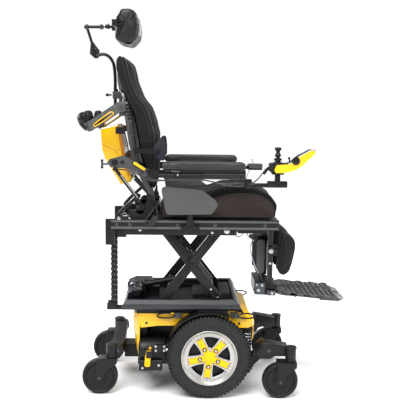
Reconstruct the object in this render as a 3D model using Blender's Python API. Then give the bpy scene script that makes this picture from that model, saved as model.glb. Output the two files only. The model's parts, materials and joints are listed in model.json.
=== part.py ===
"""Mid-wheel-drive power wheelchair with a scissor seat lift, power tilt, recline and legrest.

Units are metres, +Z is up, +X is the way the chair drives and +Y is the user's left.
The drive axle is at X = AXLE_X, and every other place is given from the axle and the floor.
"""

import math

import bpy
from mathutils import Matrix, Vector

AXLE_X = -0.01942

DRIVE_RADIUS = 0.1778
DRIVE_IN, DRIVE_OUT = 0.2265, 0.2985
RIM_RADIUS = 0.1200
RIM_WINDOWS = 5
RIM_TURN = math.radians(-30)

CASTER_RADIUS = 0.0762
CASTER_HALF_WIDTH = 0.0225
BARREL_RADIUS = 0.023
FRONT_BARREL = (0.348, 0.268)
REAR_BARREL = (-0.418, 0.216)
FRONT_TRAIL, REAR_TRAIL = 0.044, 0.050

ARM_HALF = 0.190
ARM_ANGLE = math.radians(52.0)
ARM_HALF_DEPTH = 0.020
ARM_PIN = (-0.080, 0.5562)
INNER_PLATE = (0.150, 0.158)
OUTER_PLATE = (0.164, 0.172)
CROSS_TUBE_AT = 0.150

CHAIN_BACK, CHAIN_FRONT = -0.424, -0.396
CHAIN_SIDE = (-0.190, -0.150)
CHAIN_BASE, CHAIN_KNEE, CHAIN_TOP = 0.373, 0.528, 0.683

TILT_PIVOT = (-0.230, 0.720)
RECLINE_PIVOT = (-0.253, 0.817)
RAIL_IN, RAIL_OUT = 0.215, 0.235
RAIL_LOW, RAIL_HIGH = 0.716, 0.760
ARMREST_PIVOT = (-0.270, 0.955)
JOYSTICK = (0.273, -0.270, 1.000)
HANDLE_PIVOT = (-0.375, 1.226)
LEGREST_PIVOT = (0.267, 0.722)
FOOT_HINGE = (0.310, 0.014, 0.422)
PIN_GAP = 0.0005

SIDES = (("right", -1), ("left", 1))

for old in list(bpy.data.objects):
    bpy.data.objects.remove(old, do_unlink=True)

CHAIR = bpy.data.objects.new("chair", None)
CHAIR.location = (AXLE_X, 0, 0)
bpy.context.scene.collection.objects.link(CHAIR)


# Building blocks -----------------------------------------------------------------------------

def paint(obj, colour, roughness, metallic=0.0):
    material = bpy.data.materials.new(obj.name)
    material.use_nodes = True
    shader = material.node_tree.nodes["Principled BSDF"]
    shader.inputs["Base Color"].default_value = (*colour, 1)
    shader.inputs["Roughness"].default_value = roughness
    shader.inputs["Metallic"].default_value = metallic
    obj.data.materials.clear()
    obj.data.materials.append(material)


def new_solid(points, faces):
    """A closed mesh object whose faces point out."""
    mesh = bpy.data.meshes.new("solid")
    mesh.from_pydata([tuple(p) for p in points], [], faces)
    obj = bpy.data.objects.new("solid", mesh)
    bpy.context.scene.collection.objects.link(obj)
    volume = 0.0
    for face in mesh.polygons:
        corners = [mesh.vertices[i].co for i in face.vertices]
        for b, c in zip(corners[1:], corners[2:]):
            volume += corners[0].dot(b.cross(c))
    if volume < 0:
        mesh.flip_normals()
    return obj


def stack(rings):
    """Joins rings of equal count into one closed solid with flat ends."""
    count = len(rings[0])
    points = [p for ring in rings for p in ring]
    faces = [list(range(count))[::-1], [len(points) - count + i for i in range(count)]]
    for level in range(len(rings) - 1):
        base = level * count
        for i in range(count):
            j = (i + 1) % count
            faces.append([base + i, base + j, base + count + j, base + count + i])
    return new_solid(points, faces)


AXIS_ORDER = {"X": (2, 0, 1), "Y": (0, 2, 1), "Z": (0, 1, 2)}


def place(axis, a, b, along):
    """A point from its two outline coordinates and its place along the axis.

    The outline is (X, Z) across Y, (X, Y) across Z and (Y, Z) across X.
    """
    return [(a, b, along)[i] for i in AXIS_ORDER[axis]]


def prism(outline, low, high, axis="Y"):
    low, high = sorted((low, high))
    return stack([[place(axis, a, b, at) for a, b in outline] for at in (low, high)])


def box(x, y, z):
    outline = [(x[0], z[0]), (x[1], z[0]), (x[1], z[1]), (x[0], z[1])]
    return prism(outline, *y)


def lathe(profile, centre, axis, steps=24, sign=1):
    """Turns (radius, place along the axis) pairs round the axis through the centre."""
    rings = []
    for radius, along in profile:
        ring = []
        for i in range(steps):
            turn = 2 * math.pi * i / steps
            a, b = radius * math.sin(turn), -radius * math.cos(turn)
            ring.append(place(axis, a + centre[0], b + centre[1], sign * along))
        rings.append(ring)
    return stack(rings)


def cylinder(centre, radius, low, high, axis="Y", steps=16):
    low, high = sorted((low, high))
    return lathe([(radius, low), (radius, high)], centre, axis, steps)


def rod(start, end, radius, steps=10):
    start, end = Vector(start), Vector(end)
    turn = (end - start).to_track_quat("Z", "Y")
    circle = [(radius * math.cos(2 * math.pi * i / steps), radius * math.sin(2 * math.pi * i / steps))
              for i in range(steps)]
    return stack([[at + turn @ Vector((a, b, 0)) for a, b in circle] for at in (start, end)])


def smooth_route(points, per_span=5):
    """Points along a Catmull-Rom curve through the given points."""
    knots = [Vector(p) for p in points]
    knots = [2 * knots[0] - knots[1], *knots, 2 * knots[-1] - knots[-2]]
    route = []
    for a, b, c, d in zip(knots, knots[1:], knots[2:], knots[3:]):
        for i in range(per_span):
            t = i / per_span
            route.append(0.5 * ((2 * b) + (c - a) * t + (2 * a - 5 * b + 4 * c - d) * t ** 2
                                + (3 * b - a - 3 * c + d) * t ** 3))
    return route + [knots[-2]]


def tube(points, radius, resolution=3):
    """A bent tube as a mesh, from a poly curve with a round bevel."""
    curve = bpy.data.curves.new("tube", "CURVE")
    curve.dimensions = "3D"
    curve.bevel_depth = radius
    curve.bevel_resolution = resolution
    curve.use_fill_caps = True
    line = curve.splines.new("POLY")
    line.points.add(len(points) - 1)
    for point, co in zip(line.points, points):
        point.co = (*co, 1)
    obj = bpy.data.objects.new("tube", curve)
    bpy.context.scene.collection.objects.link(obj)
    return obj


def as_mesh(obj):
    """The object with its modifiers applied and any curve made a mesh."""
    graph = bpy.context.evaluated_depsgraph_get()
    mesh = bpy.data.meshes.new_from_object(obj.evaluated_get(graph))
    made = bpy.data.objects.new(obj.name, mesh)
    bpy.context.scene.collection.objects.link(made)
    made.matrix_world = obj.matrix_world
    bpy.data.objects.remove(obj, do_unlink=True)
    return made


def combine(target, others, operation="UNION"):
    for other in others:
        if other.type != "MESH":
            other = as_mesh(other)
        modifier = target.modifiers.new("combine", "BOOLEAN")
        modifier.operation = operation
        modifier.object = other
        made = as_mesh(target)
        bpy.data.objects.remove(other, do_unlink=True)
        target = made
    return target


def cut(target, others):
    return combine(target, others, "DIFFERENCE")


def finish(obj, name, colour, roughness, metallic=0.0, pivot=(0, 0, 0)):
    """Names the solid, puts its origin on the pivot and hangs it from the chair."""
    if obj.type != "MESH":
        obj = as_mesh(obj)
    pivot = Vector(pivot)
    obj.data.transform(Matrix.Translation(-pivot))
    obj.location = pivot
    obj.name = obj.data.name = name
    obj.parent = CHAIR
    obj.data.shade_smooth()
    obj.data.set_sharp_from_angle(angle=math.radians(35))
    paint(obj, colour, roughness, metallic)
    return obj


def rounded(outline, steps=3):
    """An outline whose corners (a, b, radius) become arcs."""
    points = []
    for i, (a, b, radius) in enumerate(outline):
        here = Vector((a, b))
        before = Vector(outline[i - 1][:2]) - here
        after = Vector(outline[(i + 1) % len(outline)][:2]) - here
        if not radius:
            points.append((a, b))
            continue
        half = before.angle(after) / 2
        reach = min(radius / math.tan(half), 0.45 * before.length, 0.45 * after.length)
        start, end = here + before.normalized() * reach, here + after.normalized() * reach
        for step in range(steps + 1):
            t = step / steps
            points.append(tuple(start * (1 - t) ** 2 + here * 2 * t * (1 - t) + end * t ** 2))
    return points


BLACK = (0.02, 0.02, 0.022)
DARK_GREY = (0.07, 0.07, 0.075)
GREY = (0.16, 0.16, 0.155)
SILVER = (0.55, 0.56, 0.58)
YELLOW = (1.0, 0.60, 0.0)
BROWN_BLACK = (0.045, 0.037, 0.035)


# Base ----------------------------------------------------------------------------------------

def make_chassis():
    parts = [box((-0.310, 0.200), (-0.125, 0.125), (0.100, 0.106)),
             box((-0.375, -0.290), (-0.045, 0.045), (0.1055, 0.165)),
             cylinder((0, 0.152), 0.008, -0.411, -0.370, "X", 12),
             box((-0.355, 0.106), (-0.197, 0.197), (0.376, 0.382)),
             box((-0.440, -0.350), (-0.1965, -0.1435), (0.362, 0.3715)),
             box((-0.3560, -0.350), (-0.1960, -0.1440), (0.365, 0.381))]
    for side in (-1, 1):
        parts += [box((-0.310, 0.200), (side * 0.120, side * 0.135), (0.100, 0.160)),
                  box((-0.300, -0.270), (side * 0.120, side * 0.135), (0.150, 0.378)),
                  box((0.060, 0.090), (side * 0.120, side * 0.135), (0.150, 0.378)),
                  box((0.150, 0.190), (side * 0.120, side * 0.135), (0.150, 0.283)),
                  box((0.143, 0.190), (side * 0.125, side * 0.204), (0.2732, 0.283)),
                  cylinder((0.150, 0.105), 0.012, side * 0.130, side * 0.2045, steps=12),
                  box((0.020, 0.056), (side * 0.140, side * 0.1495), (0.381, 0.421)),
                  cylinder((0.037, 0.4065), 0.006, side * 0.145, side * 0.1605, steps=10),
                  box((-0.355, -0.170), (side * 0.1738, side * 0.1810), (0.381, 0.3910))]
    for low, high in ((-0.1965, -0.1915), (-0.1485, -0.1435)):
        parts.append(box((-0.440, -0.400), (low, high), (0.3700, 0.392)))
    frame = combine(parts[0], parts[1:])
    return finish(frame, "chassis_frame", BLACK, 0.5, 0.3)


def make_batteries():
    parts = [box((-0.258, -0.105), (-0.112, 0.112), (0.1065, 0.300)),
             box((-0.100, 0.052), (-0.112, 0.112), (0.1065, 0.300)),
             box((-0.110, -0.095), (-0.080, 0.080), (0.200, 0.304))]
    finish(combine(parts[0], parts[1:]), "battery_pack", DARK_GREY, 0.6)


def fender_outline():
    outer, inner = 0.1900, 0.1865
    angles = [math.radians(152 - 11 * i) for i in range(10)]
    arc = [(outer * math.cos(t), DRIVE_RADIUS + outer * math.sin(t)) for t in angles]
    return arc + [(inner * math.cos(t), DRIVE_RADIUS + inner * math.sin(t)) for t in angles[::-1]]


def make_shroud():
    outer = [(-0.322, 0.357), (-0.332, 0.324), (-0.326, 0.264), (-0.314, 0.171), (-0.304, 0.180),
             (-0.300, 0.285), (-0.219, 0.294), (0.114, 0.295), (0.199, 0.286), (0.197, 0.315),
             (0.171, 0.352), (0.100, 0.362)]
    hollow = [(-0.318, 0.3525), (-0.3275, 0.324), (-0.3215, 0.2655), (-0.3095, 0.168), (-0.3095, 0.08),
              (0.1935, 0.08), (0.1935, 0.313), (0.168, 0.3475), (0.100, 0.3575)]
    shell = cut(prism(outer, -0.205, 0.205),
                [prism(hollow, -0.2015, 0.2015), box((-0.312, 0.120), (-0.160, 0.160), (0.33, 0.38))])
    fenders = [prism(fender_outline(), side * 0.2025, side * 0.285) for side in (-1, 1)]
    finish(combine(shell, fenders), "base_shroud", YELLOW, 0.3)


def make_lift_cover():
    outline = [(-0.372, 0.379), (-0.364, 0.413), (0.121, 0.413), (0.133, 0.380), (0.126, 0.3725),
               (-0.366, 0.3725)]
    tray = cut(prism(outline, -0.245, 0.245), [box((-0.3572, 0.1080), (-0.200, 0.200), (0.36, 0.42))])
    finish(tray, "lift_cover", DARK_GREY, 0.45)


def make_motor(side_name, side):
    can = lathe([(0.040, -0.296), (0.050, -0.290), (0.050, -0.190), (0.040, -0.187)],
                (side * 0.190, 0.185), "X", 20)
    gearbox = box((-0.195, 0.035), (side * 0.1405, side * 0.200), (0.140, 0.222))
    nose = cylinder((0, DRIVE_RADIUS), 0.036, side * 0.195, side * 0.2045, steps=20)
    finish(combine(can, [gearbox, nose]), f"drive_motor_{side_name}", BLACK, 0.4, 0.5)


def make_freewheel_lever(side_name, side):
    outline = rounded([(-0.268, 0.196, 0.008), (-0.244, 0.196, 0.008), (-0.250, 0.170, 0.02),
                       (-0.252, 0.125, 0.005), (-0.276, 0.125, 0.005), (-0.272, 0.170, 0.02)])
    pivot = (-0.255, side * 0.2455, 0.185)
    lever = prism(outline, side * 0.2455, side * 0.2515)
    finish(lever, f"freewheel_lever_{side_name}", YELLOW, 0.4, pivot=pivot)


def make_drive_wheel(side_name, side):
    hub = (0, 0, DRIVE_RADIUS)
    tyre = [(RIM_RADIUS + 0.0006, 0.2300), (0.150, DRIVE_IN), (0.168, 0.2285), (0.1745, 0.236),
            (DRIVE_RADIUS, 0.248), (DRIVE_RADIUS, 0.277), (0.1745, 0.289), (0.168, 0.2965),
            (0.150, DRIVE_OUT), (RIM_RADIUS + 0.0006, 0.2960)]
    steps = 32
    rings = [[place("Y", r * math.sin(2 * math.pi * i / steps),
                    DRIVE_RADIUS - r * math.cos(2 * math.pi * i / steps), side * y)
              for i in range(steps)] for r, y in tyre]
    points = [p for ring in rings for p in ring]
    faces = []
    for level in range(len(rings)):
        base, above = level * steps, (level + 1) % len(rings) * steps
        for i in range(steps):
            j = (i + 1) % steps
            faces.append([base + i, base + j, above + j, above + i])
    finish(new_solid(points, faces), f"drive_tyre_{side_name}", BLACK, 0.9, pivot=hub)

    rim = lathe([(0.028, 0.2050), (0.028, 0.256), (0.095, 0.256), (0.108, 0.2305),
                 (RIM_RADIUS, 0.2305), (RIM_RADIUS, 0.2955), (0.112, 0.2955), (0.104, 0.282),
                 (0.045, 0.286), (0.034, 0.300), (0.030, 0.311)],
                (0, DRIVE_RADIUS), "Y", steps, side)
    windows = []
    for i in range(RIM_WINDOWS):
        middle = 2 * math.pi * (i + 0.5) / RIM_WINDOWS + RIM_TURN
        corners = ((0.056, 16), (0.096, 23), (0.096, -23), (0.056, -16))
        outline = [(r * math.sin(middle + math.radians(t)),
                    DRIVE_RADIUS + r * math.cos(middle + math.radians(t))) for r, t in corners]
        windows.append(prism(outline, side * 0.22, side * 0.32))
    finish(cut(rim, windows), f"drive_rim_{side_name}", SILVER, 0.35, 0.8, pivot=hub)


def make_front_arm(side_name, side):
    inner = [(0.132, 0.105), (0.140, 0.088), (0.160, 0.082), (0.178, 0.084), (0.200, 0.125),
             (0.245, 0.165), (0.262, 0.200), (0.234, 0.239), (0.204, 0.215), (0.188, 0.168),
             (0.150, 0.125), (0.136, 0.118)]
    outer = [(0.200, 0.195), (0.234, 0.239), (0.335, 0.222), (0.335, 0.178), (0.276, 0.178),
             (0.243, 0.168), (0.215, 0.166)]
    arm = combine(prism(inner, side * 0.178, side * 0.2040),
                  [prism(outer, side * 0.2025, side * 0.262),
                   cylinder((FRONT_BARREL[0], side * FRONT_BARREL[1]), BARREL_RADIUS, 0.160, 0.2205,
                            "Z", 20)])
    arm = cut(arm, [cylinder((0.150, 0.105), 0.0126, side * 0.17, side * 0.21, steps=12)])
    finish(arm, f"front_arm_{side_name}", BLACK, 0.45, 0.4, pivot=(0.150, 0, 0.105))

    profile = [(0.011, 0.1730)]
    for turn in range(6):
        profile += [(0.018, 0.178 + 0.0155 * turn), (0.013, 0.1855 + 0.0155 * turn)]
    profile.append((0.011, 0.2725))
    finish(lathe(profile, (0.165, side * 0.200), "Z", 12), f"front_spring_{side_name}",
           SILVER, 0.3, 1.0)


def make_caster(where, side_name, side, barrel, trail):
    x, y = barrel[0], side * barrel[1]
    hub_x = x - trail
    leg = [(x + 0.024, 0.1595), (x - 0.058, 0.1595), (hub_x - 0.016, 0.100), (hub_x - 0.014, 0.063),
           (hub_x + 0.014, 0.063), (hub_x + 0.022, 0.100), (x + 0.024, 0.138)]
    parts = [box((x - 0.058, x + 0.024), (y - 0.032, y + 0.032), (0.1545, 0.1595))]
    parts += [prism(leg, y + a, y + b) for a, b in ((-0.032, -0.026), (0.026, 0.032))]
    finish(combine(parts[0], parts[1:]), f"{where}_fork_{side_name}", BLACK, 0.45, 0.4,
           pivot=(x, y, 0.16))
    tyre = [(0.014, -0.0250), (0.030, -0.0180), (0.066, -0.0205), (0.0720, -CASTER_HALF_WIDTH),
            (CASTER_RADIUS, -0.0150)]
    profile = tyre + [(r, -along) for r, along in tyre[::-1]]
    wheel = lathe([(r, y + along) for r, along in profile], (hub_x, CASTER_RADIUS), "Y", 20)
    finish(wheel, f"{where}_caster_{side_name}", BLACK, 0.8, pivot=(hub_x, y, CASTER_RADIUS))


def make_rear_beam():
    half = [(0.0, 0.122), (0.030, 0.122), (0.140, 0.1685), (0.216, 0.1685), (0.216, 0.209),
            (0.180, 0.209), (0.030, 0.184), (0.0, 0.184)]
    outline = half[1:-1] + [(-a, b) for a, b in half[1:-1][::-1]]
    barrels = [cylinder((REAR_BARREL[0], side * REAR_BARREL[1]), BARREL_RADIUS, 0.160, 0.215, "Z", 20)
               for side in (-1, 1)]
    beam = combine(prism(outline, -0.430, -0.3765, "X"), barrels)
    beam = cut(beam, [cylinder((0, 0.152), 0.0086, -0.45, -0.36, "X", 12)])
    finish(beam, "rear_beam", BLACK, 0.45, 0.4, pivot=(REAR_BARREL[0], 0, 0.152))


# Scissor lift ---------------------------------------------------------------------------------

def along_arm(distance, lean):
    """A point on an arm's centre line, from the centre pin; lean is 1 when the front end is up."""
    return (ARM_PIN[0] + lean * distance * math.cos(ARM_ANGLE), ARM_PIN[1] + distance * math.sin(ARM_ANGLE))


def arm_outline(lean):
    points = []
    direction = math.atan2(math.sin(ARM_ANGLE), lean * math.cos(ARM_ANGLE))
    for end, turn in ((1, 0), (-1, math.pi)):
        x, z = along_arm(end * ARM_HALF, lean)
        for step in range(7):
            t = direction + turn + math.radians(-90 + 30 * step)
            points.append((x + ARM_HALF_DEPTH * math.cos(t), z + ARM_HALF_DEPTH * math.sin(t)))
    return points


def make_scissor_arm(lean, plate, roller_end, roller_radius, roller_span, holes):
    low, high = plate
    parts = [prism(arm_outline(lean), side * low, side * high) for side in (-1, 1)]
    for distance in (-CROSS_TUBE_AT, CROSS_TUBE_AT):
        parts.append(cylinder(along_arm(distance, lean), 0.010, -low - 0.002, low + 0.002, steps=10))
    for side in (-1, 1):
        parts.append(cylinder(along_arm(roller_end * ARM_HALF, lean), roller_radius,
                              side * roller_span[0], side * roller_span[1], steps=14))
    arm = combine(parts[0], [parts[2], parts[1], *parts[3:]])
    drills = [cylinder(along_arm(distance, lean), radius, -0.2, 0.2, steps=12)
              for distance, radius in holes]
    return cut(arm, drills)


def make_scissor():
    inner = make_scissor_arm(-1, INNER_PLATE, 1, 0.013, (0.142, 0.152), [(-ARM_HALF, 0.0066)])
    pins = [cylinder(ARM_PIN, 0.008, side * 0.156, side * 0.1765, steps=10) for side in (-1, 1)]
    low_front = along_arm(-ARM_HALF, -1)
    finish(combine(inner, pins), "scissor_arm_inner", BROWN_BLACK, 0.5, 0.3,
           pivot=(low_front[0], 0, low_front[1]))
    outer = make_scissor_arm(1, OUTER_PLATE, -1, 0.015, (0.170, 0.180),
                             [(0, 0.0088), (ARM_HALF, 0.0066)])
    finish(outer, "scissor_arm_outer", BROWN_BLACK, 0.5, 0.3, pivot=(ARM_PIN[0], 0, ARM_PIN[1]))

    start, end = along_arm(-0.136, -1), along_arm(0.136, -1)
    middle = along_arm(0.030, -1)
    screw = combine(rod((start[0], 0, start[1]), (middle[0], 0, middle[1]), 0.022, 16),
                    [rod((middle[0], 0, middle[1]), (end[0], 0, end[1]), 0.013, 12)])
    finish(screw, "lift_actuator", SILVER, 0.25, 0.9)


def make_platform():
    top_front = along_arm(ARM_HALF, 1)
    parts = [box((-0.200, 0.115), (-0.1815, 0.1815), (0.727, 0.733))]
    for side in (-1, 1):
        parts += [box((-0.365, 0.115), (side * 0.1757, side * 0.1815), (0.686, 0.7325)),
                  box((-0.365, -0.170), (side * 0.1405, side * 0.1780), (0.7275, 0.7325)),
                  box((-0.365, -0.170), (side * 0.1405, side * 0.1485), (0.7200, 0.7285)),
                  box((-0.250, -0.210), (side * 0.1805, side * 0.194), (0.700, 0.742)),
                  cylinder(top_front, 0.006, side * 0.1622, side * 0.178, steps=10)]
    parts += [box((-0.370, -0.360), (-0.1815, -0.1425), (0.690, 0.7265)),
              box((-0.430, -0.360), (-0.1485, -0.1425), (0.670, 0.720))]
    platform = combine(parts[0], parts[1:])
    platform = cut(platform, [cylinder(TILT_PIVOT, 0.0086, -0.21, -0.183, steps=12),
                              cylinder(TILT_PIVOT, 0.0086, 0.183, 0.21, steps=12)])
    finish(platform, "lift_platform", BLACK, 0.45, 0.4, pivot=(top_front[0], 0, top_front[1]))


def chain_outline(low, high):
    """Side view of one half of the cable chain, notched along its back like its links."""
    links = 7
    pitch = (high - low) / links
    points = [(CHAIN_FRONT, low), (CHAIN_FRONT, high)]
    for i in range(links):
        top = high - i * pitch
        points += [(CHAIN_BACK, top), (CHAIN_BACK, top - 0.72 * pitch),
                   (CHAIN_BACK + 0.003, top - 0.80 * pitch), (CHAIN_BACK + 0.003, top - 0.92 * pitch)]
    points[-1] = (CHAIN_BACK + 0.003, low)
    return points


def make_chain():
    lower = prism(chain_outline(CHAIN_BASE, CHAIN_KNEE), *CHAIN_SIDE)
    finish(lower, "cable_chain_lower", BLACK, 0.55, pivot=(CHAIN_BACK, 0, CHAIN_BASE))
    upper = prism(chain_outline(CHAIN_KNEE + PIN_GAP, CHAIN_TOP), *CHAIN_SIDE)
    finish(upper, "cable_chain_upper", BLACK, 0.55, pivot=(CHAIN_FRONT, 0, CHAIN_KNEE))


# Seat -----------------------------------------------------------------------------------------

def make_seat_frame():
    parts = [box((-0.200, 0.262), (-0.218, 0.218), (0.754, 0.7595)),
             box((0.262, 0.287), (-0.218, 0.218), (0.735, 0.7595))]
    for side in (-1, 1):
        hinge = rounded([(-0.285, 0.750, 0), (-0.272, 0.836, 0.012), (-0.234, 0.836, 0.012),
                         (-0.222, 0.750, 0)])
        parts += [box((-0.420, 0.287), (side * RAIL_IN, side * RAIL_OUT), (RAIL_LOW, RAIL_HIGH)),
                  box((-0.442, -0.405), (side * 0.2155, side * 0.2345), (0.651, 0.7595)),
                  cylinder(TILT_PIVOT, 0.008, side * 0.1850, side * 0.220, steps=10),
                  prism(hinge, side * 0.2165, side * 0.2240),
                  cylinder(RECLINE_PIVOT, 0.008, side * 0.192, side * 0.220, steps=10),
                  box((0.252, 0.282), (side * 0.1285, side * 0.136), (0.706, 0.737))]
    finish(combine(parts[0], parts[1:]), "seat_frame", GREY, 0.35, 0.8,
           pivot=(TILT_PIVOT[0], 0, TILT_PIVOT[1]))


def make_seat_cushion():
    outline = rounded([(-0.222, 0.7605, 0.01), (-0.222, 0.868, 0.03), (-0.010, 0.874, 0.03),
                       (0.060, 0.897, 0.04), (0.190, 0.890, 0.06), (0.262, 0.862, 0.04),
                       (0.294, 0.815, 0.03), (0.262, 0.7605, 0.02)])
    finish(prism(outline, -0.212, 0.212), "seat_cushion", DARK_GREY, 0.9)


def make_hip_guard(side_name, side):
    outline = rounded([(-0.211, 0.904, 0.02), (-0.039, 0.889, 0.02), (0.020, 0.845, 0.02),
                       (0.029, 0.823, 0.01), (0.004, 0.787, 0.02), (-0.188, 0.783, 0.02)])
    plate = prism(outline, side * 0.2560, side * 0.2620)
    clip = box((-0.125, -0.048), (side * 0.2356, side * 0.2565), (0.722, 0.800))
    finish(combine(plate, [clip]), f"hip_guard_{side_name}", GREY, 0.5)


# Back -----------------------------------------------------------------------------------------

def make_back_frame():
    cane = [(-0.270, 0.800), (-0.236, 0.800), (-0.238, 0.860), (-0.270, 0.920), (-0.302, 0.995),
            (-0.322, 1.080), (-0.336, 1.180), (-0.352, 1.250), (-0.372, 1.250), (-0.362, 1.180),
            (-0.347, 1.080), (-0.327, 1.000), (-0.297, 0.930), (-0.268, 0.860)]
    bracket = [(-0.432, 1.000), (-0.422, 1.013), (-0.364, 1.028), (-0.341, 1.017), (-0.257, 0.968),
               (-0.252, 0.955), (-0.262, 0.941), (-0.283, 0.941), (-0.350, 0.978), (-0.382, 0.975),
               (-0.419, 0.979)]
    parts = []
    for side in (-1, 1):
        upright = cut(prism(cane, side * 0.190, side * 0.214),
                      [cylinder(RECLINE_PIVOT, 0.0086, side * 0.18, side * 0.23, steps=12)])
        parts += [upright, prism(bracket, side * 0.236, side * 0.252),
                  box((-0.340, -0.308), (side * 0.212, side * 0.238), (0.978, 1.000)),
                  rod((-0.428, side * 0.244, 0.992), (-0.452, side * 0.244, 0.992), 0.004, 8),
                  box((-0.458, -0.450), (side * 0.239, side * 0.249), (0.975, 1.009))]
    bars = [box((-0.388, -0.362), (-0.192, 0.192), (1.190, 1.212)),
            box((-0.347, -0.327), (-0.192, 0.192), (0.985, 1.005)),
            box((-0.402, -0.386), (-0.020, 0.020), (1.192, 1.212)),
            box((-0.402, -0.390), (-0.020, 0.020), (1.192, 1.296)),
            box((-0.430, -0.401), (-0.020, 0.020), (1.264, 1.296))]
    frame = combine(bars[0], [parts[0], parts[5], bars[1], *parts[1:5], *parts[6:], *bars[2:]])
    frame = cut(frame, [cylinder((-0.420, 0), 0.0076, 1.25, 1.31, "Z", 14)])
    finish(frame, "back_frame", GREY, 0.4, 0.5, pivot=(RECLINE_PIVOT[0], 0, RECLINE_PIVOT[1]))


SHELL_REAR = [(-0.388, 1.300), (-0.374, 1.253), (-0.348, 1.190), (-0.336, 1.120), (-0.322, 1.030),
              (-0.300, 0.964), (-0.270, 0.904), (-0.262, 0.868)]
SHELL_FRONT = [(-0.240, 0.868), (-0.250, 0.904), (-0.275, 0.964), (-0.296, 1.030), (-0.311, 1.120),
               (-0.326, 1.190), (-0.356, 1.253), (-0.374, 1.300)]
CUSHION_FRONT = [(-0.392, 1.440), (-0.370, 1.432), (-0.357, 1.411), (-0.329, 1.342), (-0.301, 1.281),
                 (-0.263, 1.232), (-0.241, 1.170), (-0.227, 1.114), (-0.225, 1.060), (-0.226, 0.980),
                 (-0.228, 0.905), (-0.232, 0.878)]


def make_back():
    make_back_frame()
    finish(prism(SHELL_REAR + SHELL_FRONT, -0.1885, 0.1885), "back_shell", BLACK, 0.15)
    rear = [(x + 0.001, z) for x, z in SHELL_FRONT]
    outline = CUSHION_FRONT + rear[1:] + [(-0.388, 1.345), (-0.398, 1.390), (-0.400, 1.425)]
    finish(prism(outline, -0.185, 0.185), "back_cushion", DARK_GREY, 0.9)
    cover = [(-0.473, 1.139), (-0.398, 1.156), (-0.388, 1.121), (-0.374, 1.060), (-0.365, 0.990),
             (-0.337, 0.925), (-0.345, 0.905), (-0.386, 0.895), (-0.453, 1.002), (-0.468, 1.046)]
    finish(prism(cover, -0.130, 0.130), "back_cover", YELLOW, 0.35)


def make_push_handle():
    outline = rounded([(-0.528, 1.136, 0.01), (-0.506, 1.122, 0.01), (-0.382, 1.205, 0.02),
                       (-0.358, 1.210, 0.01), (-0.360, 1.242, 0.01), (-0.384, 1.250, 0.01),
                       (-0.408, 1.236, 0.02), (-0.524, 1.158, 0.01)], 2)
    slot = [(-0.490, 1.154), (-0.482, 1.147), (-0.414, 1.193), (-0.410, 1.206), (-0.422, 1.206)]
    parts = []
    for side in (-1, 1):
        parts.append(cut(prism(outline, side * 0.2150, side * 0.2330),
                         [prism(slot, side * 0.21, side * 0.24)]))
    route = smooth_route([(-0.514, -0.222, 1.142), (-0.536, -0.205, 1.156), (-0.552, -0.150, 1.182),
                          (-0.555, 0, 1.190), (-0.552, 0.150, 1.182), (-0.536, 0.205, 1.156),
                          (-0.514, 0.222, 1.142)], 3)
    grip = combine(as_mesh(tube(route, 0.014, 2)), parts)
    finish(grip, "push_handle", DARK_GREY, 0.5, 0.4, pivot=(HANDLE_PIVOT[0], 0, HANDLE_PIVOT[1]))


def make_headrest():
    route = smooth_route([(-0.420, 0, 1.225), (-0.420, 0, 1.300), (-0.421, 0, 1.370),
                          (-0.429, 0, 1.420), (-0.450, 0, 1.448), (-0.476, 0, 1.456),
                          (-0.502, 0, 1.448)], 3)
    finish(tube(route, 0.007, 2), "headrest_post", SILVER, 0.3, 0.9)
    plate = prism([(-0.494, 1.440), (-0.489, 1.472), (-0.516, 1.508), (-0.527, 1.508),
                   (-0.532, 1.458), (-0.510, 1.438)], 0.0076, 0.0125)
    link = combine(plate, [rod((-0.521, 0.010, 1.500), (-0.543, 0.0, 1.572), 0.006),
                           rod((-0.548, 0.0, 1.572), (-0.476, 0.0, 1.573), 0.0065)])
    finish(link, "headrest_link", BLACK, 0.35, 0.5, pivot=(-0.502, 0, 1.448))
    pad = rounded([(-0.414, 1.512, 0.01), (-0.402, 1.498, 0.01), (-0.340, 1.483, 0.02),
                   (-0.309, 1.520, 0.03), (-0.305, 1.566, 0.03), (-0.318, 1.630, 0.02),
                   (-0.345, 1.647, 0.01), (-0.388, 1.645, 0.01), (-0.412, 1.605, 0.02)], 2)
    neck = rod((-0.466, 0, 1.573), (-0.400, 0, 1.575), 0.009)
    finish(combine(prism(pad, -0.125, 0.125), [neck]), "headrest_pad", BLACK, 0.5,
           pivot=(-0.464, 0, 1.573))


def make_lateral(side_name, side):
    pad = rounded([(-0.248, side * 0.1890, 0.004), (-0.193, side * 0.1890, 0.008),
                   (-0.193, side * 0.2140, 0.008), (-0.248, side * 0.2140, 0.004)], 2)
    arm = combine(prism(pad, 1.012, 1.103, "Z"),
                  [box((-0.236, -0.212), (side * 0.212, side * 0.219), (1.034, 1.056)),
                   box((-0.322, -0.212), (side * 0.2152, side * 0.2270), (1.034, 1.056)),
                   cylinder((-0.322, side * 0.2211), 0.0059, 1.032, 1.058, "Z", 10)])
    finish(arm, f"lateral_support_{side_name}", DARK_GREY, 0.9, pivot=(-0.322, side * 0.2211, 1.045))


# Armrests and controls ------------------------------------------------------------------------

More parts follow.
